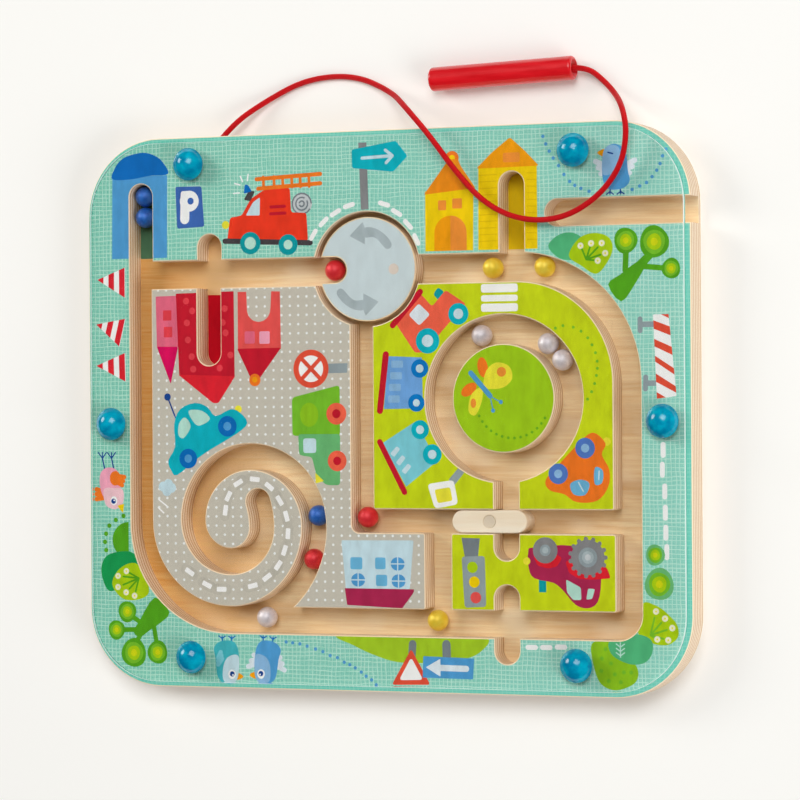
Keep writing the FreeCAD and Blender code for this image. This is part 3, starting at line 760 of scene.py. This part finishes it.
def bird(x, y, turn, facing, colours, wings="both", awake=False):
    """A plump little bird that stands up and faces left (1) or right (-1), then is turned."""
    body, breast, wing, legs = colours

    def here(points):
        cosine, sine = math.cos(math.radians(turn)), math.sin(math.radians(turn))
        return [(x + facing * u * cosine - v * sine, y + facing * u * sine + v * cosine)
            for u, v in points]

    if wings == "both":
        for side in (-1, 1):
            fill(wing, *[here(bar((side * 5, 0.6 - 1.7 * row), (side * (9.6 - 1.3 * row),
                2.6 - 2.9 * row), 2.5)) for row in range(3)])
    for side in (-1, 1):
        foot = (side * 2.6, -11.6)
        fill(legs, here(bar((side * 2.2, -9), foot, 0.7)), *[here(bar(foot,
            (foot[0] + 1.7 * lean, -12.8), 0.6)) for lean in (-1, 0, 1)])
    fill("amber", here(smooth([(-5, 8.2), (-8.8, 6.6), (-5, 4.6)], 3)))
    fill(body, here(smooth([(0.4, 10.4), (5, 7), (6.2, -2), (7, -7), (3.6, -10.2), (-3, -10.4),
        (-6, -6), (-6.2, 4), (-4.4, 9)])))
    fill(breast, here(smooth([(-1, 10), (2.2, 8), (1.8, 1), (-1, -3), (-6, -3.4), (-6.2, 4),
        (-4.6, 8.8)])))
    if wings == "folded":
        fill(wing, *[here(bar((2.6 + 0.4 * row, -1.8 - 1.6 * row), (4.8, 1 - 1.6 * row), 2.2))
            for row in range(3)])
    if awake:
        fill("white", here(oval(-2.6, 5.6, 2, 2.3, count=18)))
        fill("navy", here(circle(-2.7, 5.4, 1.3, 14)))
        fill("white", here(circle(-3.1, 5.9, 0.45, 8)))
    else:
        fill("navy", here(bar((-3.4, 6.6), (-1.2, 6), 0.7)))


def dotted_trail():
    """The blue bird's dotted flight across the back right corner."""
    dots("sky", [(83.6, 127.2), (85, 123.6), (86.7, 120.2), (88.6, 116.9), (91.3, 113.3),
        (93.9, 109.1), (96.7, 105.8), (99.2, 103.9), (102.2, 102.4), (106.2, 100.9),
        (127.2, 101.1), (130.9, 102.6), (134.2, 104.1), (136.9, 106.7), (139.2, 109.6),
        (140.8, 112.6), (142, 116.1), (143.3, 119.2)])


def bush(outline, dark, light, sprig, berries):
    """A leafy half disc with cream berries on a sprig."""
    fill(dark, outline)
    foot, tips = berries[0], berries[1:]
    for x, y in tips:
        fill(sprig, bar(foot, ((foot[0] + 3 * x) / 4, (foot[1] + 3 * y) / 4), 0.9))
    fill("cream", *[circle(x, y, 1.5, 14) for x, y in tips])
    fill(light, *[circle(x, y, 0.5, 8) for x, y in tips])


def crown(x, y, radius, outer="leaf"):
    """A round tree top in ever lighter, slightly uneven rings."""
    for share, colour in ((1, outer), (0.74, "apple"), (0.5, "lime"), (0.24, "citron")):
        ring = []
        for step in range(24):
            angle = 2 * math.pi * step / 24
            reach = radius * share * (1 + 0.035 * math.sin(3 * angle + 9 * share + x))
            ring.append((x + reach * math.cos(angle), y + reach * 1.06 * math.sin(angle)))
        fill(colour, ring)


def hills_back():
    fill("hill", smooth([(86, 75.4), (88.6, 79.6), (94, 82), (99.6, 81.4), (104.4, 77), (100, 70),
        (92, 70)]))
    bush(smooth([(96, 71.4), (101, 79.2), (108.4, 81.6), (115.4, 79.6), (117.6, 74.4), (115, 68),
        (109.4, 62.6), (102, 66.6)]), "lime", "lemon", "leaf", [(104.6, 69.4), (101.8, 75.8),
        (107, 76.8), (112.2, 76.8), (113.9, 72.1), (110.2, 68.7)])


def tree_back():
    fill("leaf", smooth([(115.2, 57.6), (121.6, 49.6), (128.6, 58), (134, 66.4), (137.6, 70.6),
        (134, 71.6), (129.6, 68), (125.6, 65.4), (121, 62)], 3), bar((123.6, 64), (124, 73), 2.8),
        bar((132.6, 65.6), (142, 64.6), 2.6))
    for x, y, radius in ((123.9, 77.7, 5.7), (137.7, 76.8, 7.1), (145.8, 64.4, 4.5)):
        crown(x, y, radius)


def barrier():
    fill("grey", bar((130.6, 38.9), (138, 38.9), 2.6), bar((130.6, 41.4), (130.6, 36), 2.4),
        bar((133.2, 11.8), (139, 11.8), 2.6), bar((133.2, 14.6), (133, 9.2), 2.4))
    board = [(136.9, 43.4), (144.4, 43.4), (148, 5.8), (138.5, 4.6)]
    fill("white", rounded(board, 0.6))
    left_top, right_top, right_foot, left_foot = (Vector(corner) for corner in board)
    for left_high, left_low, right_high, right_low in ((0.07, 0.17, 0.15, 0.26),
            (0.29, 0.38, 0.4, 0.5), (0.49, 0.56, 0.66, 0.74), (0.7, 0.8, 0.88, 0.96)):
        fill("vermilion", [left_top.lerp(left_foot, left_high), left_top.lerp(left_foot, left_low),
            right_top.lerp(right_foot, right_low), right_top.lerp(right_foot, right_high)])
    fill("vermilion", [left_top.lerp(left_foot, 0.92), left_foot,
        left_foot.lerp(right_foot, 0.46)], [left_top.lerp(right_top, 0.5), right_top,
        right_top.lerp(right_foot, 0.05)])


def right_dashes():
    for x, y in ((141.3, -18.9), (140.9, -28), (142, -38), (142.2, -47.7), (142.4, -56.9),
            (142.8, -65.8)):
        fill("white", bar((x, y - 2.5), (x, y + 2.5), 2.4))


def front_right_bushes():
    fill("grass", smooth([(106, -108.6), (114.3, -107.4), (122.6, -112.1), (127.3, -117.7),
        (128.7, -122.4), (126.1, -126.9), (117.7, -129.8), (110.5, -127.1), (107, -119.2)]))
    dots("apple", [(112.8, -110.9), (110.9, -115.2), (115.4, -117.4), (121.6, -121.4),
        (110.6, -121), (117.2, -122.4), (125.2, -121.4), (114.2, -125.6), (120.1, -126)], 1)
    bush(rounded([(131.3, -88), (140, -91.4), (147.8, -98.6), (148.6, -104.6), (144, -108.6),
        (137, -108.6), (127.8, -103.6)], 3), "lime", "lemon", "apple",
        [(134.6, -104), (137.4, -93.1), (141.7, -96.3), (145.2, -100.6), (143.2, -106.2),
        (137.9, -105.9)])
    fill("hill", smooth([(114.3, -108), (116.4, -113.9), (124.9, -117.6), (132.1, -116.6),
        (135.5, -111.9), (135, -106.4), (128.6, -103.8), (120, -105.4)]))
    fill("mint", bar((120, -107.8), (120, -114.4), 0.6), *[bar((120, y - 1.4), (120 + side, y),
        0.6) for y in (-108.4, -110.4, -112.4) for side in (-2, 2)])
    for x, y, radius in ((137.2, -67.2, 4.6), (139.1, -80.6, 7)):
        crown(x, y, radius, "sage")


def pennants():
    for tip, upper, lower in (((-149.8, 65.2), (-134.5, 71), (-134.5, 56)),
            ((-150.6, 43.3), (-134.4, 45.9), (-137.8, 32.2)), ((-150.6, 23), (-134.7, 29.2),
            (-134.4, 15))):
        fill("white", [tip, lower, upper])
        tip, upper, lower = Vector(tip), Vector(upper), Vector(lower)
        for start in (0.02, 0.4, 0.78):
            end = start + 0.2
            fill("red", [tip.lerp(upper, start), tip.lerp(lower, start), tip.lerp(lower, end),
                tip.lerp(upper, end)])


def pink_bird():
    fill("navy", *[bar((-146.4 + 5 * k, -27.4), (-147.6 + 5 * k, -22.4), 0.7) for k in range(2)],
        *[bar((-147.6 + 5 * k, -22.4), (-149.8 + 5 * k + 2.2 * toe, -19.6),
        0.6) for k in range(2) for toe in range(3)])
    fill("orange", *[bar((-147, -38.6 - 1.6 * row), (-151, -37.6 - 2.4 * row),
        2.3) for row in range(3)])
    fill("pink", smooth([(-148.8, -30), (-145, -27), (-140, -28), (-137.6, -33), (-139, -41),
        (-146, -42), (-148.8, -37)]))
    fill("blush", smooth([(-146.8, -37.6), (-141, -37), (-136.4, -38), (-136.6, -44.6),
        (-141, -47.4), (-146, -45)]))
    fill("orange", oval(-140.6, -32.2, 3, 3.6), *[bar((-140, -31 - 1.5 * row),
        (-135.6 - 0.6 * row, -31.6 - 2 * row), 2.2) for row in range(3)])
    fill("yellow", rounded([(-139.6, -45.6), (-135.8, -44.6), (-136.4, -49.4)], 0.6))
    fill("white", oval(-141.4, -43.2, 1.9, 2.2, count=18))
    fill("navy", circle(-141.6, -43.4, 1.3, 14))
    fill("white", circle(-141.2, -43, 0.45, 8))


def left_hills():
    fill("leaf", arc(-133.4, -62.4, 8.9, 270, 90))
    dots("leaf", [(-136.2, -50.6), (-140.4, -52.6), (-144, -55.4), (-145.8, -59.4),
        (-146.4, -63.4), (-145.8, -67.4), (-143.2, -71.4)], 1.2)
    fill("moss", smooth([(-148.6, -78), (-146, -70.6), (-138, -68), (-130.6, -69), (-128, -76),
        (-136, -84), (-144.4, -87.4)]))
    bush(smooth([(-142.6, -84), (-138.4, -76.4), (-130, -73.6), (-124.4, -80), (-122.6, -88),
        (-128.4, -91.4), (-137, -91)]), "lime", "lemon", "leaf",
        [(-128, -81), (-139.4, -80), (-134.8, -77.6), (-139.4, -85.4), (-135, -88),
        (-130.4, -89.6)])


def tree_front():
    fill("leaf", smooth([(-119.4, -90.2), (-111.4, -97.4), (-117, -103), (-122.4, -106.4),
        (-127.4, -109.6), (-131, -107.4), (-127.6, -101.4)], 3),
        bar((-128, -102), (-134.6, -98), 2.4), bar((-129, -106), (-139, -106.4), 2.4),
        bar((-120, -104), (-118.4, -113), 2.4), bar((-127, -108), (-130, -113), 2.4))
    for x, y, radius in ((-134.4, -97.4, 4.9), (-140.3, -106.4, 4.5), (-130.9, -117.4, 6.7),
            (-118, -116.9, 5.4)):
        crown(x, y, radius)


def front_trail():
    dots("sky", [(-49.2, -110.6), (-45.8, -111), (-42, -111.4), (-38.2, -112.4), (-33.8, -113.7),
        (-30, -114.9), (-26.2, -116.7), (-22.4, -117.6), (-18.9, -119.7), (-16, -120.8),
        (-13.2, -122.3), (-10.1, -124.2), (-7.6, -126.1), (-4.8, -127.8), (-2.4, -130.1)])


def front_hill():
    fill("spring", smooth([(-22.8, -107), (-14, -111.6), (-4.4, -115.6), (8, -119), (22.8, -119.2),
        (40, -117.4), (50, -114), (54.2, -106.6), (30, -104), (0, -104)]))


def warning_sign():
    fill("slate", bar((16.4, -110.4), (16, -116), 3.8))
    fill("vermilion", rounded([(15.6, -112.6), (25.3, -129.4), (5.6, -129.9)], 1.6))
    fill("white", rounded([(15.6, -116.6), (21.7, -127.2), (9.3, -127.6)], 2))


def arrow_sign():
    fill("slate", bar((33.6, -110.2), (33.8, -118), 4.2))
    fill("sky", rounded([(21.8, -116), (47.6, -116.6), (46.9, -126.4), (21.4, -126.1)], 0.5))
    fill("snow", bar((29, -121.3), (43.6, -121.5), 2.9), rounded([(23, -121.2), (30.5, -117),
        (30.5, -125.5)], 0.6))


def front_dashes():
    for x, y in ((76.4, -110.8), (83.6, -110.7), (90.9, -110.4)):
        fill("white", bar((x - 1.9, y), (x + 1.9, y), 2.4))


def frame_pictures():
    for picture in (garage, parking_sign, fire_engine, signpost, turning_dashes, yellow_house,
            barn, dotted_trail, hills_back, tree_back, barrier, right_dashes, front_right_bushes,
            pennants, pink_bird, left_hills, tree_front, front_trail, front_hill, warning_sign,
            arrow_sign, front_dashes):
        picture()
    bird(119, 112, 0, 1, ("sky", "mist", "snow", "navy"))
    bird(-80.6, -121.2, 180, 1, ("lagoon", "ice", "aqua", "blue"), "folded", awake=True)
    bird(-59.6, -120.9, 176, -1, ("sky", "mist", "snow", "blue"), awake=True)


# ---- pictures on the town island ----
def castle():
    fill("rose", [(-117.9, 56.4), (-106.2, 56.6), (-105.6, 31.6), (-117.4, 31.4)])
    fill("poppy", plate(-114, -109.4, 44.6, 49.6, 0.5), plate(-113.6, -109, 36.4, 41.6, 0.5))
    fill("magenta", rounded([(-117.5, 32), (-105.9, 31.8), (-110, 13.6)], 1))
    fill("crimson", [(-107, 57.6), (-75.9, 58.2), (-75.6, 16.8), (-105.4, 17.8)])
    fill("red", rounded([(-105.9, 18.2), (-75.3, 17.2), (-84.4, 4.2), (-87.2, 4.2)], 1))
    dots("poppy", [(-101.5, 53.9), (-98.2, 49.1), (-101.1, 43.3), (-100.6, 35), (-98.6, 26.9),
        (-97.8, 20.8), (-80.8, 49.9), (-81.9, 43.2), (-80.4, 38.2), (-77.8, 27.4), (-83.6, 21.2)],
        1.7)


def coral_tower():
    fill("coral", [(-73.8, 57.8), (-69.2, 57.8), (-68.9, 50)] + arc(-62.7, 49.4, 6.2, 180,
        360) + [(-56.4, 50), (-56, 57.8), (-51.4, 57.6), (-51, 30), (-73.8, 30.2)])
    fill("rose", plate(-70.2, -64.8, 32.8, 38.7, 0.8))
    fill("pink", plate(-62.4, -56.9, 32.6, 38.6, 0.8))
    fill("crimson", rounded([(-74.3, 30.4), (-50.9, 30.6), (-62.4, 15.9), (-67, 15.9)], 1))
    fill("orange", circle(-64.9, 15.2, 3))
    fill("amber", circle(-64.9, 15.4, 1.4, 14))


def crossing_sign():
    fill("grey", [(-28, 22.6), (-16.2, 22.8), (-16.4, 18.2), (-28, 18)])
    fill("vermilion", circle(-35.3, 20.3, 9.2, 36))
    fill("white", circle(-35.3, 20.3, 6.4, 32))
    for turn in (45, 135):
        step, middle = heading(math.radians(turn)) * 6.4, Vector((-35.3, 20.3))
        fill("vermilion", bar(middle - step, middle + step, 2))


def truck():
    fill("apple", rounded([(-45.4, 6.6), (-20.4, 12.4), (-20.3, -11.8), (-45.2, -11.8)], 2))
    fill("grass", oval(-36.4, -1.7, 4.8, 5.8))
    fill("sage", rounded([(-42.2, -11), (-41.8, -21), (-35, -22), (-32.6, -31.6), (-27.4, -35.4),
        (-20.5, -35.4), (-20.3, -11)], 1.6))
    fill("ice", plate(-39.6, -32.8, -20, -13, 1.4))
    fill("lemon", rounded([(-33.4, -29.4), (-28.8, -33.4), (-33.2, -34.6)], 0.6))
    wheel(-22.2, -1.3, 5.2, "salmon", "crimson", 0.42)
    wheel(-21.9, -23.8, 4.9, "salmon", "crimson", 0.42)


def teal_car():
    fill("navy", bar((-111.6, 7), (-107.6, -2.6), 0.8), circle(-111.8, 7.4, 1.8, 14))
    fill("lemon", circle(-73.8, 1.2, 1.9, 14))
    fill("turquoise", smooth([(-111.6, -23.6), (-107.9, -16.8), (-108.3, -6), (-105, 1.4),
        (-97, 4.4), (-90.4, 2.4), (-86, -2), (-78, 1.2), (-73, -0.4), (-69, -5.4), (-74.4, -10.4),
        (-89, -18.4), (-96.4, -23), (-106.8, -30.6), (-110, -28.4)], 3))
    fill("mint", smooth([(-100.4, 0.6), (-93.4, 0.6), (-89, -3.4), (-94.6, -6.6), (-98, -4.6)], 4),
        smooth([(-105.6, -5.6), (-102.4, -2.6), (-99.4, -7), (-103.2, -12.6), (-106, -11)], 4))
    wheel(-79.7, -7, 5, "blue", "sky", 0.42)
    wheel(-100.8, -22.6, 4.8, "blue", "sky", 0.42)


def smoke():
    fill("ice", *[circle(x, y, 2.5, 18) for x, y in ((-114.4, -36.2), (-111.6, -35), (-110, -36.8),
        (-112.4, -38.4), (-112, -36.6))])
    fill("white", bar((-117, -42.4), (-112.6, -45.6), 0.7), bar((-117.2, -46.4), (-114.2, -49),
        0.7))


def spiral_dashes():
    """White dashes that follow the spiral strip of the island round to its middle."""
    places = ((-81.3, -53.4), (-81, -47.6), (-79.4, -40.8), (-74.1, -34.4), (-65.3, -32.6),
        (-57.6, -36.1), (-52.2, -42.8), (-48.7, -50.3), (-47.9, -58.7), (-49.8, -66.7),
        (-53.1, -73.9), (-59.1, -79.7), (-66.7, -83.9), (-83.3, -85.8), (-91.1, -83.7),
        (-100.4, -77.6))
    strokes = []
    for number in range(1, len(places)):
        here = Vector(places[number])
        before = Vector(places[number - 1])
        after = Vector(places[min(number + 1, len(places) - 1)])
        along = (after - before).normalized() * 2.6
        fill("stone", bar(here - along, here + along, 5.4))
        strokes.append(rounded(bar(here - along, here + along, 2.4, round_ends=False), 0.5))
    fill("white", *strokes)


def pale_house():
    fill("ice", rounded([(-20, -61.6), (17.2, -61.4), (15.1, -84.6), (-17.8, -84.8)], 0.8))
    fill("berry", rounded([(-18.4, -84.4), (17.5, -84.5), (17, -86.2), (11.2, -93.6),
        (-17.2, -92.4)], 0.5))
    fill("pool", plate(-15.4, -9.2, -75.4, -69.6, 1), plate(-2.6, 2.8, -75.2, -69.6, 1),
        plate(-2.2, 3.6, -83.2, -77.8, 1))
    for x, y in ((-11.4, -80.4), (9, -72.6), (9.4, -80.7)):
        fill("sky", oval(x, y, 3.6, 3.2))
        fill("ice", bar((x - 3.6, y), (x + 3.6, y), 0.6), bar((x, y - 3.2), (x, y + 3.2), 0.6))


def town_pictures():
    for picture in (castle, coral_tower, crossing_sign, truck, teal_car, smoke, spiral_dashes,
            pale_house):
        picture()


# ---- pictures on the meadow, roundabout and farm ----
def crossing():
    for low, high in ((55, 59), (50.8, 53.8), (46, 49.8)):
        fill("white", plate(52.2, 70.6, low, high, 1.3))


def engine():
    fill("teal", rounded([(28, 54.6), (30.4, 58), (33.6, 56), (31.6, 51)], 1.4))
    fill("salmon", rounded([(9, 41), (21.8, 55), (27.4, 49), (34.4, 56.6), (44.6, 50),
        (31.7, 36.6), (24.4, 27.6), (18.6, 27.2)], 1.4))
    fill("crimson", bar((7.2, 40.4), (21.4, 56), 3))
    fill("snow", rounded([(20.6, 50.6), (26.4, 45.2), (20.8, 40), (15.4, 45.2)], 1.4))
    wheel(40.7, 45.3, 5.1, "turquoise", "ice", 0.48)
    wheel(25, 32.8, 6, "turquoise", "ice", 0.48)


def blue_wagon():
    fill("denim", [(4.8, 25.8), (22, 25), (22.4, 1), (2.4, 0.8)])
    fill("crimson", bar((3.6, 26.6), (0.4, 0), 3.2))
    for row in range(4):
        x, y = 9.4 - 0.6 * row, 22 - 5.5 * row
        fill("mist", plate(x - 3, x + 3, y - 1.7, y + 1.7, 0.7))
    wheel(20.9, 19.8, 4.4, "azure", "ice", 0.45)
    wheel(19.1, 3.6, 4.2, "azure", "ice", 0.42)


def mint_wagon():
    fill("aqua", [(1.6, -15.4), (18.6, -5.2), (29.4, -24), (13.6, -36)])
    fill("crimson", bar((0.2, -14.8), (12.8, -38.6), 2.8))
    for x, y in ((8.1, -19.2), (10.9, -23.4), (13.8, -27.4)):
        fill("ice", rounded([(x - 2.6, y - 1.2), (x + 0.8, y + 2.4), (x + 2.6, y + 1),
            (x - 0.6, y - 2.8)], 0.7))
    wheel(20.9, -9.1, 4.5, "turquoise", "ice", 0.45)
    wheel(27, -20.8, 4.8, "turquoise", "ice", 0.45)


def priority_sign():
    fill("grey", [(35.4, -32.6), (41.4, -25.8), (44, -28.4), (38, -35.4)])
    fill("white", rounded([(24.4, -34.8), (37.8, -32.8), (40, -44.2), (28.2, -46.4)], 2))
    fill("lemon", rounded([(28, -37.4), (36, -36.2), (37.2, -42.6), (29.6, -43.8)], 1.2))


def orange_car():
    fill("lemon", circle(114, -15, 2, 14))
    fill("orange", smooth([(107, -10.8), (113.4, -15.8), (111.6, -21), (115.2, -28), (114.6, -36),
        (109, -42.4), (99, -43), (93, -39.4), (86, -37.6), (83.8, -33), (90, -26), (99, -17)], 4))
    fill("pool", smooth([(96, -34.6), (101, -32.6), (105.4, -34.4), (103.4, -39.6), (97.6, -39.4)],
        4), smooth([(108.2, -27), (112, -28.4), (111.6, -34), (108, -34.6)], 4))
    fill("ice", bar((100, -33.8), (102.4, -38), 0.6), bar((110.2, -28.6), (110, -32.6), 0.6))
    wheel(103.4, -18, 4.8, "steel", "mist", 0.42)
    wheel(90.1, -29.9, 4.8, "steel", "mist", 0.42)


def meadow_trail():
    dots("apple", [(89.2, 37.8), (92.9, 38.9), (98, 38.1), (101.8, 36.2), (105.1, 33.1),
        (107.1, 29.8), (108.8, 26.1), (109.6, 22.2), (109.7, 18.9), (109.2, 15.6), (108.3, 11.9),
        (106.8, 8.1), (104.8, 4.7)], 0.75)


def meadow_pictures():
    for picture in (crossing, engine, blue_wagon, mint_wagon, priority_sign, orange_car,
            meadow_trail):
        picture()


def roundabout_pictures():
    """A butterfly and the dotted line that it flew."""
    fill("orange", oval(52.8, 20, 2.6, 4.8, 10), oval(45.8, 9.6, 4.4, 2.6, 35))
    fill("lemon", smooth([(53.2, 11.2), (54.6, 18.4), (59.6, 22.2), (66, 20.4), (67.6, 14.8),
        (63.4, 10.6), (57, 9.8)]), smooth([(52.6, 9.8), (52.2, 3.8), (49, -2.4), (45.6, -0.6),
        (46.4, 6), (49.6, 9.8)]))
    fill("apricot", circle(62.2, 17.8, 2.3, 20), oval(48, 3.2, 1.4, 2.2))
    fill("sky", bar((46.8, 17.4), (56.4, 6.6), 2.4), bar((56.6, 6.4), (61.4, 3.8), 0.5),
        bar((56.4, 6.4), (57.8, 0.4), 0.5), circle(61.8, 3.7, 1, 12), circle(57.9, -0.3, 1, 12))
    dots("fern", arc(67.6, 5.4, 18.6, 206, 330, 13), 0.7)


def traffic_light():
    fill("slate", [(41.6, -60), (50.8, -60.2), (49.8, -69), (43.2, -69)])
    fill("grey", rounded([(41.6, -68.8), (53.2, -68.4), (53.8, -92.2), (43, -92.8)], 1.6))
    for x, y, colour in ((47, -73.8, "lime"), (47.9, -80.7, "yellow"), (48.6, -88, "coral")):
        fill(colour, circle(x, y, 2.7, 22))


def tractor():
    fill("teal", tile(80.2, 83.8, -85, -78))
    fill("berry", smooth([(75, -66), (78, -64.2), (98.6, -63.4), (109.6, -72), (110.8, -80),
        (109.2, -89), (104.4, -92.2), (98.2, -90.6), (92.4, -84.4), (87.4, -80.6), (78, -78.6),
        (75.2, -74)], 3))
    fill("mint", rounded([(93.6, -78.9), (100.9, -82.6), (101.1, -88.4), (97, -88.4), (94, -84.8)],
        1), rounded([(104.4, -83), (107.8, -83.2), (106.4, -87.8), (103.5, -88.2)], 0.8))
    fill("lemon", circle(74.2, -70.6, 1.8, 14))
    fill("red", rounded([(77.4, -68), (79.4, -72.6), (84.6, -74), (89.2, -73), (91.8, -69),
        (84, -64)], 1.2), rounded([(93.2, -70.6), (95.2, -76), (100, -78.6), (107, -78.9),
        (115.6, -78.2), (113.8, -73.4), (104, -68)], 1.2))
    for turn in range(0, 360, 24):
        step, middle = heading(math.radians(turn)), Vector((104.4, -68.6))
        fill("ash", bar(middle + step * 7, middle + step * 8.7, 2))
    fill("ash", circle(104.4, -68.6, 8.2), circle(83.4, -65.5, 6.1))
    fill("grey", circle(104.4, -68.6, 4.6), circle(83.4, -65.5, 2.7, 18))
    fill("haze", circle(104.4, -68.6, 2.9, 20), circle(83.4, -65.5, 1.5, 16))
    fill("silver", circle(104.4, -68.6, 1.5, 14))


def farm_pictures():
    traffic_light()
    tractor()


def turntable_pictures():
    """Two grey arrows that turn anticlockwise, and a faint dot over the magnet."""
    arrow = ([(-8.7, 89.9), (-15.4, 83.4), (-7.6, 79.3)] + smooth([(-7.4, 82.6), (-3.8, 82.7),
        (-1, 81.4), (1.7, 78.5), (3.6, 76.8), (5.8, 77.4), (6.1, 79.7), (3.1, 83.4), (-0.6, 86),
        (-4.2, 87.2), (-7.4, 87)], 3)[:-2])
    fill("haze", arrow, [(2 * -8 - x, 2 * 67.6 - y) for x, y in arrow])
    fill("beige", circle(7.2, 67.2, 2.6, 20))


# ---- the pieces' materials ----
LOOKS = {
    "plywood": wood("birch_plywood", PALE, DEEP, LINE),
    "maple": wood("maple", (255, 247, 230), (252, 239, 216), (236, 212, 178), plies_and_light_pools=False),
    "print_teal": weave("linen_print"),
    "print_grey": dotted("dotted_print", (203, 198, 184), (194, 189, 175), (240, 244, 244)),
    "print_lime": ink("lime_ground", (208, 224, 22)),
    "print_green": ink("green_ground", (166, 210, 24)),
    "print_white": ink("pale_ground", (211, 226, 229), 0.025),
    "clear_acrylic": acrylic("clear_acrylic"),
    "cap_teal": cap_plastic("teal_plastic"),
    "zinc_steel": metal("zinc_steel", (196, 198, 200), 0.25, (1, 1, 0.2)),
    "ball_blue": pearl("blue_pearl", (10, 84, 184), (40, 122, 216)),
    "ball_red": pearl("red_pearl", (222, 12, 34), (248, 54, 64)),
    "ball_yellow": pearl("yellow_pearl", (246, 208, 20), (255, 230, 84)),
    "ball_silver": pearl("silver_pearl", (212, 204, 210), (244, 238, 242)),
    "pen_red": lacquer("red_lacquer", (206, 0, 16), (228, 8, 26)),
    "magnet_nickel": metal("nickel", (206, 202, 196), 0.2, (1, 1, 1)),
    "cord_red": braid("red_braid", (196, 0, 10), (228, 4, 20)),
}


def dress_nodes():
    """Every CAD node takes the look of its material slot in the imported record."""
    for entry in frame["record"]["subparts"]:
        mesh = frame["nodes"][entry["node"]].data
        mesh.materials.clear()
        mesh.materials.append(LOOKS[entry["material_slot"]])
    frame["nodes"]["clear_cover"].visible_shadow = False
    plug = frame["nodes"]["slider_slug"].data.materials
    plug[0] = wood("plug", (240, 226, 204), (230, 214, 190), (206, 190, 168), plies_and_light_pools=False)


add_camera()
add_cord(LOOKS["cord_red"])
dress_nodes()
print_sheet("town", town_pictures, "print_grey", "root")
print_sheet("meadow", meadow_pictures, "print_lime", "root")
print_sheet("roundabout", roundabout_pictures, "print_green", "root")
print_sheet("farm", farm_pictures, "print_lime", "root")
print_sheet("frame", frame_pictures, "print_teal", "root")
print_sheet("turntable", turntable_pictures, "print_white", "turntable")
cover_edge()
slot_floors()
add_studio()
add_floor()
